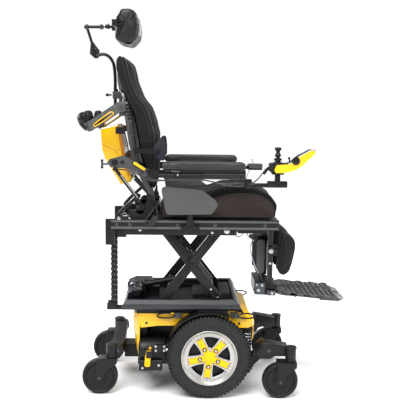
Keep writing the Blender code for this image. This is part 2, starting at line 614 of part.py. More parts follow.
def make_armrest(side_name, side):
    lug = rounded([(-0.286, 0.941, 0.012), (-0.286, 0.969, 0.012), (-0.190, 0.972, 0),
                   (-0.190, 0.938, 0)])
    parts = [box((-0.196, 0.136), (side * 0.2525, side * 0.2875), (0.936, 0.974)),
             prism(lug, side * 0.2526, side * 0.2625)]
    if side < 0:
        parts.append(box((0.105, 0.166), (-0.282, -0.258), (0.9252, 0.937)))
    else:
        parts += [box((0.130, 0.205), (0.262, 0.274), (0.940, 0.955)),
                  box((0.196, 0.262), (0.245, 0.280), (0.937, 0.966))]
    finish(combine(parts[0], parts[1:]), f"armrest_beam_{side_name}", BLACK, 0.4, 0.5,
           pivot=(ARMREST_PIVOT[0], 0, ARMREST_PIVOT[1]))
    pad = rounded([(-0.211, 0.9745, 0.006), (-0.211, 1.004, 0.012), (-0.120, 1.007, 0),
                   (0.144, 1.007, 0.012), (0.144, 0.9745, 0.012)])
    finish(prism(pad, side * 0.235, side * 0.305), f"armrest_pad_{side_name}", BLACK, 0.6)


def make_joystick():
    x, y, z = JOYSTICK
    parts = [box((0.150, 0.250), (-0.278, -0.262), (0.9040, 0.9205)),
             cylinder((0.150, y), 0.014, 0.900, 0.9248, "Z", 14),
             box((0.234, 0.311), (-0.285, -0.255), (0.9042, 0.930)),
             box((0.262, 0.284), (-0.278, -0.262), (0.929, 0.9645))]
    finish(combine(parts[0], parts[1:]), "joystick_mount", BLACK, 0.4, 0.5, pivot=(0.150, y, 0.92))
    outline = rounded([(0.238, 0.966, 0.005), (0.238, 1.006, 0.004), (0.321, 1.004, 0.02),
                       (0.356, 1.037, 0.01), (0.407, 1.064, 0.006), (0.429, 1.052, 0.006),
                       (0.367, 0.993, 0.02), (0.343, 0.977, 0.01), (0.295, 0.9655, 0)])
    housing = cut(prism(outline, -0.304, -0.236), [cylinder((x, y), 0.022, 0.979, 1.02, "Z", 20)])
    finish(housing, "joystick_housing", BLACK, 0.35)
    ball = 0.018
    dome = [(ball * math.sin(math.radians(t)), z - ball * math.cos(math.radians(t)))
            for t in range(20, 161, 20)]
    finish(lathe(dome, (x, y), "Z", 16), "joystick_boot", BLACK, 0.8, pivot=JOYSTICK)
    knob = [(0.005, z + 0.0192), (0.005, z + 0.034), (0.009, z + 0.037), (0.0145, z + 0.058),
            (0.0135, z + 0.068), (0.009, z + 0.0705)]
    finish(lathe(knob, (x, y), "Z", 16), "joystick_stick", BLACK, 0.6, pivot=JOYSTICK)


def make_toggle_lever():
    stem = combine(rod((0.2003, 0.262, 0.9340), (0.186, 0.262, 0.884), 0.0035, 8),
                   [lathe([(0.003, 0.875), (0.006, 0.879), (0.006, 0.885), (0.003, 0.889)],
                          (0.186, 0.262), "Z", 10)])
    finish(stem, "toggle_lever", SILVER, 0.3, 0.8, pivot=(0.2005, 0.262, 0.937))


def make_cable():
    route = smooth_route([(0.235, -0.2470, 0.985), (0.222, -0.2470, 0.962), (0.190, -0.2465, 0.932),
                          (0.130, -0.2465, 0.914), (0.050, -0.2465, 0.909), (-0.040, -0.2465, 0.914),
                          (-0.120, -0.2465, 0.921), (-0.170, -0.2465, 0.933),
                          (-0.205, -0.2465, 0.944)], 5)
    finish(tube(route, 0.003, 2), "joystick_cable", GREY, 0.6)


# Legrest --------------------------------------------------------------------------------------

def make_legrest():
    x, z = LEGREST_PIVOT
    knuckle = [(x + 0.0118 * math.cos(math.radians(t)), z + 0.0118 * math.sin(math.radians(t)))
               for t in range(0, 181, 30)]
    tube_outline = knuckle + [(x - 0.0118, 0.480), (x + 0.0118, 0.480)]
    parts = [prism(tube_outline, side * 0.108, side * 0.1277) for side in (-1, 1)]
    plate = box((0.2555, 0.2785), (-0.126, 0.126), (0.655, 0.690))
    cover = rounded([(0.206, 0.500, 0.02), (0.206, 0.660, 0.02), (0.249, 0.660, 0.02),
                     (0.246, 0.500, 0.02)])
    cover = prism(cover, -0.095, 0.095)
    neck = box((0.240, 0.262), (-0.040, 0.040), (0.620, 0.680))
    finish(combine(plate, [*parts, neck, cover]), "legrest_frame", BLACK, 0.4, 0.5, pivot=(x, 0, z))

    carrier = combine(box((0.203, 0.297), (-0.100, 0.100), (0.407, 0.470)),
                      [box((0.257, 0.277), (side * 0.0955, side * 0.1070), (0.465, 0.600))
                       for side in (-1, 1)])
    finish(carrier, "legrest_carrier", BLACK, 0.4, 0.5)

    outline = rounded([(0.312, 0.709, 0.006), (0.340, 0.689, 0.02), (0.372, 0.672, 0.02),
                       (0.378, 0.640, 0.03), (0.352, 0.520, 0.02), (0.327, 0.501, 0.01),
                       (0.293, 0.511, 0.01), (0.296, 0.620, 0.03)])
    pads = [prism(outline, side * 0.045, side * 0.165) for side in (-1, 1)]
    bar = box((0.2815, 0.300), (-0.150, 0.150), (0.602, 0.622))
    finish(combine(bar, pads), "calf_pads", DARK_GREY, 0.85, pivot=(0.2865, 0, 0.612))

    sole = [(0.3005, 0.438), (0.550, 0.4085), (0.600, 0.400), (0.607, 0.394), (0.600, 0.388),
            (0.490, 0.3925), (0.3005, 0.414)]
    for side_name, side in SIDES:
        plate = prism(sole, side * 0.014, side * 0.138)
        grooves = [box((0.335 + 0.06 * i, 0.345 + 0.06 * i), (side * 0.03, side * 0.12), (0.38, 0.45))
                   for i in range(4)]
        finish(cut(plate, grooves), f"footplate_{side_name}", GREY, 0.5, 0.4,
               pivot=(FOOT_HINGE[0], side * FOOT_HINGE[1], FOOT_HINGE[2]))


make_chassis()
make_batteries()
make_shroud()
make_lift_cover()
make_rear_beam()
for side_name, side in SIDES:
    make_motor(side_name, side)
    make_freewheel_lever(side_name, side)
    make_drive_wheel(side_name, side)
    make_front_arm(side_name, side)
    make_caster("front", side_name, side, FRONT_BARREL, FRONT_TRAIL)
    make_caster("rear", side_name, side, REAR_BARREL, REAR_TRAIL)
make_scissor()
make_platform()
make_chain()
make_seat_frame()
make_seat_cushion()
make_back()
make_push_handle()
make_headrest()
make_joystick()
make_toggle_lever()
make_cable()
make_legrest()
for side_name, side in SIDES:
    make_hip_guard(side_name, side)
    make_lateral(side_name, side)
    make_armrest(side_name, side)
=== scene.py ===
"""Looks of the power wheelchair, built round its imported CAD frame.

Units are metres and +Z is up. Places along X are measured from the drive axle, and AXLE_X
shifts a finished piece to the row frame. "right" is the chair's own right, at negative Y.
"""

import json
import math

import bmesh
import bpy
from mathutils import Matrix, Vector
from mathutils.bvhtree import BVHTree

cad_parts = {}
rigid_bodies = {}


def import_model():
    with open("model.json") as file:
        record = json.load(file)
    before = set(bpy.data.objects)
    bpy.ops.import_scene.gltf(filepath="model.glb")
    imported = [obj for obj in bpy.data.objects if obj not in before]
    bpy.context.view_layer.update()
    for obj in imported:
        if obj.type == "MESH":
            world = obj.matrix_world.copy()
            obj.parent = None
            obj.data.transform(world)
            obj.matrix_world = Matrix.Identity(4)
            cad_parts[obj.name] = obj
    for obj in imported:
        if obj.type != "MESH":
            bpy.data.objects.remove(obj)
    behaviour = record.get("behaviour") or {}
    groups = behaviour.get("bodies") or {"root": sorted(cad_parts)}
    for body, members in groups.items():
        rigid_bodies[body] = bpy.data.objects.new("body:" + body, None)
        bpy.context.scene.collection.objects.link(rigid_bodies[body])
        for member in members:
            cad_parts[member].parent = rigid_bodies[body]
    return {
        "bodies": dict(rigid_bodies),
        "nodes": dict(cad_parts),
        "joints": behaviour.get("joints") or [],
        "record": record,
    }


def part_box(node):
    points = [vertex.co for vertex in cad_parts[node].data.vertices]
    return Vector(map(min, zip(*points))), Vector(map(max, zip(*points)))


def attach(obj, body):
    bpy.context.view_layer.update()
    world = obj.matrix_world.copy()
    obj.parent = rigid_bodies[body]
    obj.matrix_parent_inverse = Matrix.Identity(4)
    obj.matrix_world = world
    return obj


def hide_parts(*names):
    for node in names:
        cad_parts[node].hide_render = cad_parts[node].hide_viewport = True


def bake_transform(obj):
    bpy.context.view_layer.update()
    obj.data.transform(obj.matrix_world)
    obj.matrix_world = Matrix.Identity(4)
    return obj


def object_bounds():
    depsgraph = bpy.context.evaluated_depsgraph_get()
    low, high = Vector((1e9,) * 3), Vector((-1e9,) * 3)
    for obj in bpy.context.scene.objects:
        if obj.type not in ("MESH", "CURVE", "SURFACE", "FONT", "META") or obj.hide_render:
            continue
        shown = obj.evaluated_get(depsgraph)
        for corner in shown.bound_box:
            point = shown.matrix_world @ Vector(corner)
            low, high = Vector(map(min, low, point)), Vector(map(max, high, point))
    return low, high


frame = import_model()
CAD_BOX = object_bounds()

SIDES = (("right", -1), ("left", 1))


def middle_of(node):
    low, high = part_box(node)
    return (low + high) / 2


AXLE_X = middle_of("drive_tyre_right").x
DRIVE_RADIUS = (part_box("drive_tyre_right")[1].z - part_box("drive_tyre_right")[0].z) / 2
TO_ROW = Matrix.Translation((AXLE_X, 0, 0))


# Mesh building blocks ------------------------------------------------------------------------

AXIS_ORDER = {"X": (2, 0, 1), "Y": (0, 2, 1), "Z": (0, 1, 2)}


def place(axis, a, b, along):
    """A point from its two outline coordinates and its place along the axis.

    The outline is (X, Z) across Y, (X, Y) across Z and (Y, Z) across X.
    """
    return Vector([(a, b, along)[i] for i in AXIS_ORDER[axis]])


def solid(points, faces):
    """(points, faces) turned so that the faces point out."""
    volume = 0.0
    for face in faces:
        for j, k in zip(face[1:], face[2:]):
            volume += points[face[0]].dot(points[j].cross(points[k]))
    return (points, faces) if volume > 0 else (points, [list(f)[::-1] for f in faces])


def stack(rings, closed=False):
    """Joins rings of equal count. The ends are flat caps, or meet where closed is true."""
    count = len(rings[0])
    points = [Vector(p) for ring in rings for p in ring]
    faces = []
    if not closed:
        faces = [list(range(count))[::-1], [len(points) - count + i for i in range(count)]]
    for level in range(len(rings) - (0 if closed else 1)):
        base, above = level * count, (level + 1) % len(rings) * count
        for i in range(count):
            j = (i + 1) % count
            faces.append([base + i, base + j, above + j, above + i])
    return solid(points, faces)


def prism(outline, low, high, axis="Y"):
    return stack([[place(axis, a, b, at) for a, b in outline] for at in sorted((low, high))])


def box(x, y, z):
    x, z = sorted(x), sorted(z)
    return prism([(x[0], z[0]), (x[1], z[0]), (x[1], z[1]), (x[0], z[1])], *y)


def lathe(profile, centre, axis="Y", steps=32, sign=1, closed=False):
    """Turns (radius, place along the axis) pairs round the axis through the centre."""
    rings = []
    for radius, along in profile:
        turns = [2 * math.pi * i / steps for i in range(steps)]
        rings.append([place(axis, centre[0] + radius * math.sin(t), centre[1] - radius * math.cos(t),
                            sign * along) for t in turns])
    return stack(rings, closed)


def disc(centre, radius, low, high, axis="Y", steps=24, round_by=0.0):
    """A round bar or button whose two rims are eased by round_by."""
    low, high = sorted((low, high))
    r = round_by
    profile = [(radius, low), (radius, high)]
    if r:
        profile = [(radius - r, low), (radius - 0.3 * r, low + 0.3 * r), (radius, low + r),
                   (radius, high - r), (radius - 0.3 * r, high - 0.3 * r), (radius - r, high)]
    return lathe(profile, centre, axis, steps)


def smooth_route(points, per_span=6):
    """Points along a Catmull-Rom curve through the given points."""
    knots = [Vector(p) for p in points]
    knots = [2 * knots[0] - knots[1], *knots, 2 * knots[-1] - knots[-2]]
    route = []
    for a, b, c, d in zip(knots, knots[1:], knots[2:], knots[3:]):
        for i in range(per_span):
            t = i / per_span
            route.append(0.5 * ((2 * b) + (c - a) * t + (2 * a - 5 * b + 4 * c - d) * t ** 2
                                + (3 * b - a - 3 * c + d) * t ** 3))
    return route + [knots[-2]]


def sweep(route, section, up=(0, 1, 0), closed=False):
    """A section of (across, up) pairs carried along the route."""
    rings = []
    last = len(route) - 1
    for i, point in enumerate(route):
        before = route[i - 1] if i or closed else route[0]
        after = route[(i + 1) % len(route)] if i < last or closed else route[last]
        along = (Vector(after) - Vector(before)).normalized()
        across = along.cross(Vector(up)).normalized()
        rise = across.cross(along)
        rings.append([Vector(point) + across * a + rise * b for a, b in section])
    return stack(rings, closed)


def circle(radius, steps=10):
    return [(radius * math.cos(2 * math.pi * i / steps), radius * math.sin(2 * math.pi * i / steps))
            for i in range(steps)]


def rod(start, end, radius, steps=12):
    start, end = Vector(start), Vector(end)
    turn = (end - start).to_track_quat("Z", "Y")
    return stack([[at + turn @ Vector((a, b, 0)) for a, b in circle(radius, steps)]
                  for at in (start, end)])


def pipe(points, radius, steps=12, per_span=6, up=(0.01, 1, 0.013), closed=False):
    return sweep(smooth_route(points, per_span), circle(radius, steps), up, closed)


def rounded(outline, steps=4):
    """An outline whose corners (a, b, radius) become arcs."""
    points = []
    for i, (a, b, radius) in enumerate(outline):
        here = Vector((a, b))
        before = Vector(outline[i - 1][:2]) - here
        after = Vector(outline[(i + 1) % len(outline)][:2]) - here
        if not radius:
            points.append((a, b))
            continue
        half = before.angle(after) / 2
        reach = min(radius / math.tan(half), 0.45 * before.length, 0.45 * after.length)
        start, end = here + before.normalized() * reach, here + after.normalized() * reach
        for step in range(steps + 1):
            t = step / steps
            points.append(tuple(start * (1 - t) ** 2 + here * 2 * t * (1 - t) + end * t ** 2))
    return points


def rounded_box(x, y, z, radius, axis="Y"):
    """A box whose four edges along the axis are round."""
    spans = {"X": (y, z, x), "Y": (x, z, y), "Z": (x, y, z)}[axis]
    (a0, a1), (b0, b1) = sorted(spans[0]), sorted(spans[1])
    corners = [(a0, b0, radius), (a1, b0, radius), (a1, b1, radius), (a0, b1, radius)]
    return prism(rounded(corners, 3), *spans[2], axis)


def bolt(at, direction, radius=0.005, height=0.004, socket=True):
    """Shapes of a washer and a hexagon or socket head standing on a face."""
    turn = Vector(direction).to_track_quat("Z", "Y")

    def ring(r, h, steps):
        return [Vector(at) + turn @ Vector((r * math.cos(2 * math.pi * i / steps), r
                                            * math.sin(2 * math.pi * i / steps), h))
                for i in range(steps)]

    washer = stack([ring(radius * 1.45, -0.001, 18), ring(radius * 1.45, 0.0008, 18),
                    ring(radius * 1.3, 0.0012, 18)])
    if not socket:
        return [washer, stack([ring(radius, 0, 6), ring(radius, height * 0.8, 6),
                               ring(radius * 0.86, height, 6)])]
    head = [ring(radius, 0, 18), ring(radius, height * 0.75, 18), ring(radius * 0.88, height, 18),
            ring(radius * 0.52, height, 18), ring(radius * 0.48, height * 0.45, 18)]
    return [washer, stack(head)]


def mirrored(shape):
    """The same shape on the other side of the chair."""
    points, faces = shape
    return [Vector((p.x, -p.y, p.z)) for p in points], [list(f)[::-1] for f in faces]


def with_mirror(shapes):
    """Shapes of one side and of the other."""
    return shapes + [mirrored(shape) for shape in shapes]


def span(side, near, far):
    """The Y range between two distances from the chair's middle plane."""
    return sorted((side * near, side * far))


def on_side(shapes, side):
    """Shapes drawn for the left side, put on the given side."""
    return shapes if side > 0 else [mirrored(shape) for shape in shapes]


def as_object(name, shapes):
    """One object from a list of (points, faces) shapes, in the row frame."""
    points, faces = [], []
    for shape_points, shape_faces in shapes:
        start = len(points)
        points += [tuple(p) for p in shape_points]
        faces += [[start + i for i in face] for face in shape_faces]
    mesh = bpy.data.meshes.new(name)
    mesh.from_pydata(points, [], faces)
    mesh.transform(TO_ROW)
    obj = bpy.data.objects.new(name, mesh)
    bpy.context.scene.collection.objects.link(obj)
    return obj


def ease_edges(obj, width, segments=2, angle=30):
    """Rounds an object's hard edges and smooths the rest."""
    if width:
        bevel = obj.modifiers.new("eased edges", "BEVEL")
        bevel.width = width
        bevel.segments = segments
        bevel.limit_method = "ANGLE"
        bevel.angle_limit = math.radians(angle)
        bevel.harden_normals = True
    obj.data.shade_smooth()
    obj.data.set_sharp_from_angle(angle=math.radians(angle + 10))
    return obj


def piece(name, body, shapes, material, ease=0.0008, replaces=(), angle=30):
    """A finished rigid piece that moves with a CAD body."""
    obj = ease_edges(as_object(name, shapes), ease, angle=angle)
    obj.data.materials.append(material)
    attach(obj, body)
    if replaces:
        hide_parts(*replaces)
    return obj


# Materials -----------------------------------------------------------------------------------

def node(tree, kind, settings=None, **inputs):
    """A shader node. An input given a socket is linked to it, and any other is set."""
    made = tree.nodes.new("ShaderNode" + kind)
    for key, value in (settings or {}).items():
        setattr(made, key, value)
    for key, value in inputs.items():
        socket = made.inputs[int(key[1:]) if key[0] == "n" and key[1:].isdigit() else key]
        if isinstance(value, bpy.types.NodeSocket):
            tree.links.new(value, socket)
        else:
            socket.default_value = value
    return made


def spread(tree, value, low, high, to_low=0.0, to_high=1.0):
    """Stretches the part of a value between low and high over a new range."""
    return node(tree, "MapRange", n0=value, n1=low, n2=high, n3=to_low, n4=to_high).outputs[0]


def mixed(tree, factor, a, b):
    mix = node(tree, "Mix", {"data_type": "RGBA"}, n0=factor)
    for socket, colour in ((mix.inputs[6], a), (mix.inputs[7], b)):
        if isinstance(colour, bpy.types.NodeSocket):
            tree.links.new(colour, socket)
        else:
            socket.default_value = (*colour, 1)
    return mix.outputs[2]


def maths(tree, operation, a, b=0.0):
    return node(tree, "Math", {"operation": operation}, n0=a, n1=b).outputs[0]


def noise_at(tree, where, scale, detail=3.0, distortion=0.0):
    made = node(tree, "TexNoise", Vector=where, Scale=scale, Detail=detail, Distortion=distortion)
    return made.outputs["Fac"]


def waves(tree, where, direction, pitch, distortion=0.0):
    """Bands that repeat once each pitch metres along a direction."""
    made = node(tree, "TexWave", {"bands_direction": direction, "wave_type": "BANDS"}, Vector=where,
                Scale=math.pi / (10 * pitch), Distortion=distortion, Detail=1.0)
    return made.outputs["Fac"]


def weave_height(tree, where, pitch):
    """Over and under threads, seen the same way from every side."""
    across = maths(tree, "MAXIMUM", waves(tree, where, "X", pitch), waves(tree, where, "Y", pitch))
    return maths(tree, "MULTIPLY", across, waves(tree, where, "Z", pitch))


def leather_height(tree, where, size):
    cells = node(tree, "TexVoronoi", {"feature": "DISTANCE_TO_EDGE"}, Vector=where, Scale=1 / size)
    return spread(tree, cells.outputs["Distance"], 0.0, 0.12)


def brushed_height(tree, where, direction):
    """Fine drawn lines along one axis."""
    scale = [900.0, 900.0, 900.0]
    scale["XYZ".index(direction)] = 12.0
    stretched = node(tree, "Mapping", n0=where, n3=tuple(scale)).outputs[0]
    return noise_at(tree, stretched, 1.0, 2.0)


def surface(name, colour, roughness, metallic=0.0, vary=0.1, mottle=8.0, relief=0.12, depth=0.0003,
            grain=700.0, pattern=None, size=0.003, scuffs=0.0, scuff_colour=None, coat=0.0, sheen=0.0,
            specular=0.5):
    """A procedural finish: mottled colour, a fine relief or pattern, and worn patches."""
    material = bpy.data.materials.new(name)
    material.use_nodes = True
    tree = material.node_tree
    shader = tree.nodes["Principled BSDF"]
    where = node(tree, "TexCoord").outputs["Object"]
    cloud = noise_at(tree, where, mottle, 4.0)
    dark = [c * (1 - vary) for c in colour]
    light = [min(1.0, c * (1 + vary)) for c in colour]
    shade = mixed(tree, spread(tree, cloud, 0.3, 0.7), dark, light)
    if pattern == "weave":
        height = weave_height(tree, where, size)
        shade = mixed(tree, spread(tree, height, 0.0, 1.0, 0.55, 0.0), shade,
                      [c * 0.25 for c in colour])
    elif pattern == "leather":
        height = leather_height(tree, where, size)
        shade = mixed(tree, spread(tree, height, 0.0, 1.0, 0.5, 0.0), shade, [c * 0.4 for c in colour])
    elif pattern in ("X", "Y", "Z"):
        height = brushed_height(tree, where, pattern)
        shade = mixed(tree, spread(tree, height, 0.3, 0.7, 0.25, 0.0), shade, [c * 0.6 for c in colour])
    else:
        height = noise_at(tree, where, grain, 3.0)
    rough = spread(tree, cloud, 0.25, 0.75, roughness * 0.85, min(1.0, roughness * 1.2))
    if scuffs:
        rubbed = noise_at(tree, where, 42.0, 9.0, 1.6)
        worn = spread(tree, rubbed, 0.6, 0.7, 0.0, scuffs)
        shade = mixed(tree, worn, shade, scuff_colour or [min(1.0, c * 1.8 + 0.02) for c in colour])
        rough = maths(tree, "ADD", rough, maths(tree, "MULTIPLY", worn, 0.25))
    bump = node(tree, "Bump", Strength=relief, Distance=depth, Height=height)
    tree.links.new(shade, shader.inputs["Base Color"])
    tree.links.new(rough, shader.inputs["Roughness"])
    tree.links.new(bump.outputs[0], shader.inputs["Normal"])
    shader.inputs["Metallic"].default_value = metallic
    shader.inputs["Coat Weight"].default_value = coat
    shader.inputs["Coat Roughness"].default_value = 0.08
    shader.inputs["Sheen Weight"].default_value = sheen
    shader.inputs["Sheen Roughness"].default_value = 0.45
    shader.inputs["Specular IOR Level"].default_value = specular
    return material


POWDER_BLACK = surface("powder_black", (0.0075, 0.0075, 0.0085), 0.4, relief=0.35, scuffs=0.25,
                       specular=0.3)
SATIN_BLACK = surface("satin_black", (0.0055, 0.0055, 0.0065), 0.32, relief=0.2, scuffs=0.2,
                      specular=0.3)
PLASTIC_BLACK = surface("plastic_black", (0.007, 0.007, 0.008), 0.42, relief=0.5, grain=450,
                        scuffs=0.15, specular=0.28)
PLASTIC_GREY = surface("plastic_grey", (0.06, 0.062, 0.061), 0.45, relief=0.4, grain=500, scuffs=0.2,
                       specular=0.3)
COVER_GREY = surface("cover_grey", (0.04, 0.043, 0.047), 0.3, 0.35, relief=0.15, pattern="X",
                     scuffs=0.25, specular=0.35)
TRAY_BLACK = surface("tray_black", (0.01, 0.01, 0.011), 0.5, relief=0.4, grain=400, scuffs=0.3,
                     specular=0.2)
YELLOW = surface("yellow_paint", (0.88, 0.5, 0.0), 0.26, vary=0.05, mottle=5, relief=0.06, grain=250,
                 coat=0.5, scuffs=0.06, scuff_colour=(0.7, 0.33, 0.0), specular=0.35)
YELLOW_PLASTIC = surface("yellow_plastic", (0.86, 0.49, 0.0), 0.42, vary=0.07, relief=0.3, grain=500,
                         scuffs=0.1, scuff_colour=(0.6, 0.31, 0.0), specular=0.3)
# A darker orange used only as painted shade on the back cover's creases and side edges.
PAINTED_SHADE_ORANGE = surface("painted_shade_orange", (0.55, 0.2, 0.008), 0.45, vary=0.15, relief=0.2, grain=300,
                       specular=0.3)
TYRE = surface("tyre_rubber", (0.0175, 0.0178, 0.018), 0.72, vary=0.25, mottle=30, relief=0.6,
               depth=0.0005, grain=350, scuffs=0.5, scuff_colour=(0.04, 0.039, 0.037), specular=0.25)
CASTER_RUBBER = surface("caster_rubber", (0.0085, 0.0085, 0.009), 0.55, vary=0.2, relief=0.5, grain=300,
                        scuffs=0.5, scuff_colour=(0.026, 0.025, 0.024), specular=0.28)
ALLOY = surface("painted_alloy", (0.52, 0.51, 0.49), 0.3, 0.65, vary=0.1, relief=0.15, grain=900,
                scuffs=0.25, scuff_colour=(0.28, 0.27, 0.26))
STEEL = surface("bright_steel", (0.52, 0.53, 0.56), 0.22, 1.0, vary=0.12, relief=0.1, scuffs=0.2,
                scuff_colour=(0.22, 0.22, 0.23))
RIM_SILVER = surface("rim_silver", (0.4, 0.41, 0.46), 0.35, 0.3, vary=0.1, relief=0.1, scuffs=0.15)
DARK_STEEL = surface("dark_steel", (0.075, 0.08, 0.088), 0.26, 0.9, vary=0.15, relief=0.15, scuffs=0.2)
MOTOR_GLOSS = surface("motor_gloss", (0.085, 0.088, 0.095), 0.16, 0.85, vary=0.15, relief=0.1,
                      scuffs=0.2)
SCISSOR = surface("scissor_coat", (0.015, 0.013, 0.0125), 0.36, 0.2, vary=0.12, relief=0.3, scuffs=0.3,
                  specular=0.3)
RAIL = surface("anodised_rail", (0.013, 0.013, 0.014), 0.34, 0.4, pattern="X", relief=0.2, scuffs=0.2,
               specular=0.3)
# A lighter copy of the rail's anodised finish: painted highlight along the rail ridges.
RAIL_RIDGE_HIGHLIGHT = surface("anodised_ridge_highlight", (0.12, 0.12, 0.124), 0.3, 0.7, pattern="X", relief=0.2,
                    scuffs=0.2, specular=0.3)
PILLAR = surface("grey_extrusion", (0.07, 0.073, 0.072), 0.38, 0.5, pattern="Z", relief=0.2, scuffs=0.2,
                 specular=0.3)
CAST_GREY = surface("cast_grey", (0.085, 0.092, 0.088), 0.48, 0.3, vary=0.35, mottle=90, relief=0.7,
                    depth=0.0005, grain=420, scuffs=0.35, scuff_colour=(0.035, 0.037, 0.036),
                    specular=0.3)
CHAIN = surface("chain_plastic", (0.006, 0.006, 0.0065), 0.45, relief=0.4, grain=400, scuffs=0.3,
                specular=0.25)
GLOSS_SHELL = surface("gloss_shell", (0.004, 0.004, 0.006), 0.1, vary=0.1, relief=0.03, grain=60,
                      coat=0.6, scuffs=0.08, specular=0.4)
FABRIC_TOP = surface("cushion_top_fabric", (0.012, 0.0112, 0.0115), 0.86, vary=0.18, mottle=14,
                     pattern="weave", size=0.0028, relief=0.6, depth=0.0008, sheen=0.06, specular=0.1)
FABRIC_SIDE = surface("cushion_side_fabric", (0.052, 0.04, 0.038), 0.84, vary=0.18, mottle=12,
                      pattern="weave", size=0.0035, relief=0.6, depth=0.0008, sheen=0.06, specular=0.12)
FABRIC_BACK = surface("back_fabric", (0.0195, 0.018, 0.0185), 0.82, vary=0.2, mottle=12,
                      pattern="weave", size=0.003, relief=0.6, depth=0.0008, sheen=0.08, specular=0.12)
FABRIC_PURPLE = surface("lateral_fabric", (0.04, 0.036, 0.052), 0.8, vary=0.15, mottle=25,
                        pattern="weave", size=0.0025, relief=0.6, depth=0.0007, sheen=0.1,
                        specular=0.12)
VINYL = surface("black_vinyl", (0.0065, 0.007, 0.0085), 0.36, vary=0.1, pattern="leather", size=0.0045,
                relief=0.1, depth=0.0003, specular=0.4)
ARM_VINYL = surface("arm_pad_vinyl", (0.03, 0.031, 0.031), 0.4, vary=0.1, pattern="leather", size=0.004,
                    relief=0.15, depth=0.0003, specular=0.35)
PIPING = surface("piping_cord", (0.024, 0.023, 0.024), 0.55, relief=0.5, grain=900, sheen=0.08,
                 specular=0.2)
THREAD = surface("sewing_thread", (0.2, 0.19, 0.192), 0.7, relief=0.5, grain=1500, specular=0.2)
WEBBING = surface("belt_webbing", (0.05, 0.052, 0.054), 0.75, pattern="weave", size=0.0022, relief=0.8,
                  depth=0.0006, sheen=0.08, specular=0.2)
CABLE_GREY = surface("cable_sheath", (0.1, 0.101, 0.108), 0.45, vary=0.15, relief=0.3, grain=500,
                     specular=0.4)
CABLE_PALE = surface("pale_cable", (0.36, 0.38, 0.46), 0.45, vary=0.15, relief=0.3, grain=500)
GUARD_GREY = surface("guard_grey", (0.072, 0.073, 0.07), 0.5, vary=0.08, relief=0.6, grain=380,
                     scuffs=0.3, scuff_colour=(0.11, 0.11, 0.105), specular=0.25)
FOOT_GREY = surface("footplate_cast", (0.06, 0.062, 0.062), 0.42, 0.3, vary=0.2, mottle=40, relief=0.7,
                    depth=0.0005, grain=350, scuffs=0.6, scuff_colour=(0.17, 0.17, 0.165),
                    specular=0.35)
FLOOR = surface("floor", (0.93, 0.93, 0.93), 0.75, vary=0.012, mottle=1.5, relief=0.05, grain=80)


# Carried-over nodes --------------------------------------------------------------------------

def carry_over(names, material, ease=0.0, angle=30):
    """CAD nodes that stay in view, with their own finish and eased edges."""
    for name in names:
        obj = frame["nodes"][name]
        obj.data.materials.clear()
        obj.data.materials.append(material)
        if ease:
            weld = obj.modifiers.new("weld", "WELD")
            weld.merge_threshold = 0.00002
            ease_edges(obj, ease, angle=angle)


def both(*names):
    return [f"{name}_{side}" for name in names for side, _ in SIDES]


def carry_over_nodes():
    """The CAD nodes that no piece of this script stands for."""
    carry_over(["chassis_frame", "battery_pack"] + both("drive_motor"), POWDER_BLACK, 0.001)
    carry_over(both("front_arm", "front_fork", "rear_fork") + ["rear_beam"], POWDER_BLACK, 0.0015)
    carry_over(["scissor_arm_inner", "scissor_arm_outer", "lift_platform"], SCISSOR, 0.001)
    carry_over(["lift_actuator", "headrest_post"], SATIN_BLACK)
    carry_over(["headrest_link", "legrest_frame", "joystick_mount"] + both("armrest_beam"), SATIN_BLACK,
               0.001)
    carry_over(["seat_frame"], RAIL, 0.001)
    carry_over(["back_frame"], PILLAR, 0.001)
    carry_over(["push_handle"], CAST_GREY, 0.0015)
    carry_over(["joystick_boot"], PLASTIC_BLACK)
    carry_over(["toggle_lever"], STEEL)


# Drive wheels --------------------------------------------------------------------------------

HUB = (0.0, DRIVE_RADIUS)
TYRE_MIDDLE = middle_of("drive_tyre_left").y
SPOKES = 5
FIRST_SPOKE = math.radians(120)
TREAD_LUGS = 64


def around_hub(radius, turn, along):
    """A point round the drive axle; turn is measured from +X towards +Z."""
    return Vector((radius * math.cos(turn), along, HUB[1] + radius * math.sin(turn)))


def lug(section, turn, width, skew=0.0):
    """One tread block: a section of (radius, offset from the tyre's middle) given some width."""
    rings = []
    for end in (-0.5, 0.5):
        rings.append([around_hub(r, turn + end * width * 0.94 ** (r > 0.174) + skew * y / 0.03,
                                 TYRE_MIDDLE + y) for r, y in section])
    return stack(rings)


def make_drive_tyre(side_name, side):
    """The drive tyre: a ribbed carcass with shoulder and crown blocks."""
    half = [(0.1206, 0.0325), (0.124, 0.0345), (0.129, 0.035), (0.1315, 0.0335), (0.1345, 0.035),
            (0.15, 0.0358), (0.1535, 0.0348), (0.1565, 0.0352), (0.164, 0.0322), (0.1712, 0.024),
            (0.1724, 0.01)]
    profile = [(r, TYRE_MIDDLE + y) for r, y in half]
    profile += [(r, TYRE_MIDDLE - y) for r, y in half[::-1]]
    shapes = [lathe(profile, HUB, steps=128, closed=True)]
    shoulder = [(0.159, 0.034), (0.166, 0.0345), (0.1722, 0.03), (0.1766, 0.0235), (0.1778, 0.0135),
                (0.1778, 0.0085), (0.169, 0.0085), (0.164, 0.027)]
    crown = [(0.1778, 0.005), (0.1778, -0.005), (0.169, -0.005), (0.169, 0.005)]
    pitch = 2 * math.pi / TREAD_LUGS
    for i in range(TREAD_LUGS):
        turn = i * pitch
        shapes.append(lug(shoulder, turn, 0.56 * pitch, 0.03))
        shapes.append(lug([(r, -y) for r, y in shoulder], turn + pitch / 2, 0.56 * pitch, 0.03))
        shapes.append(lug(crown, turn + pitch / 4, 0.45 * pitch, 0.03))
    piece(f"tyre_{side_name}", f"drive_wheel_{side_name}", on_side(shapes, side), TYRE, 0,
          [f"drive_tyre_{side_name}"])


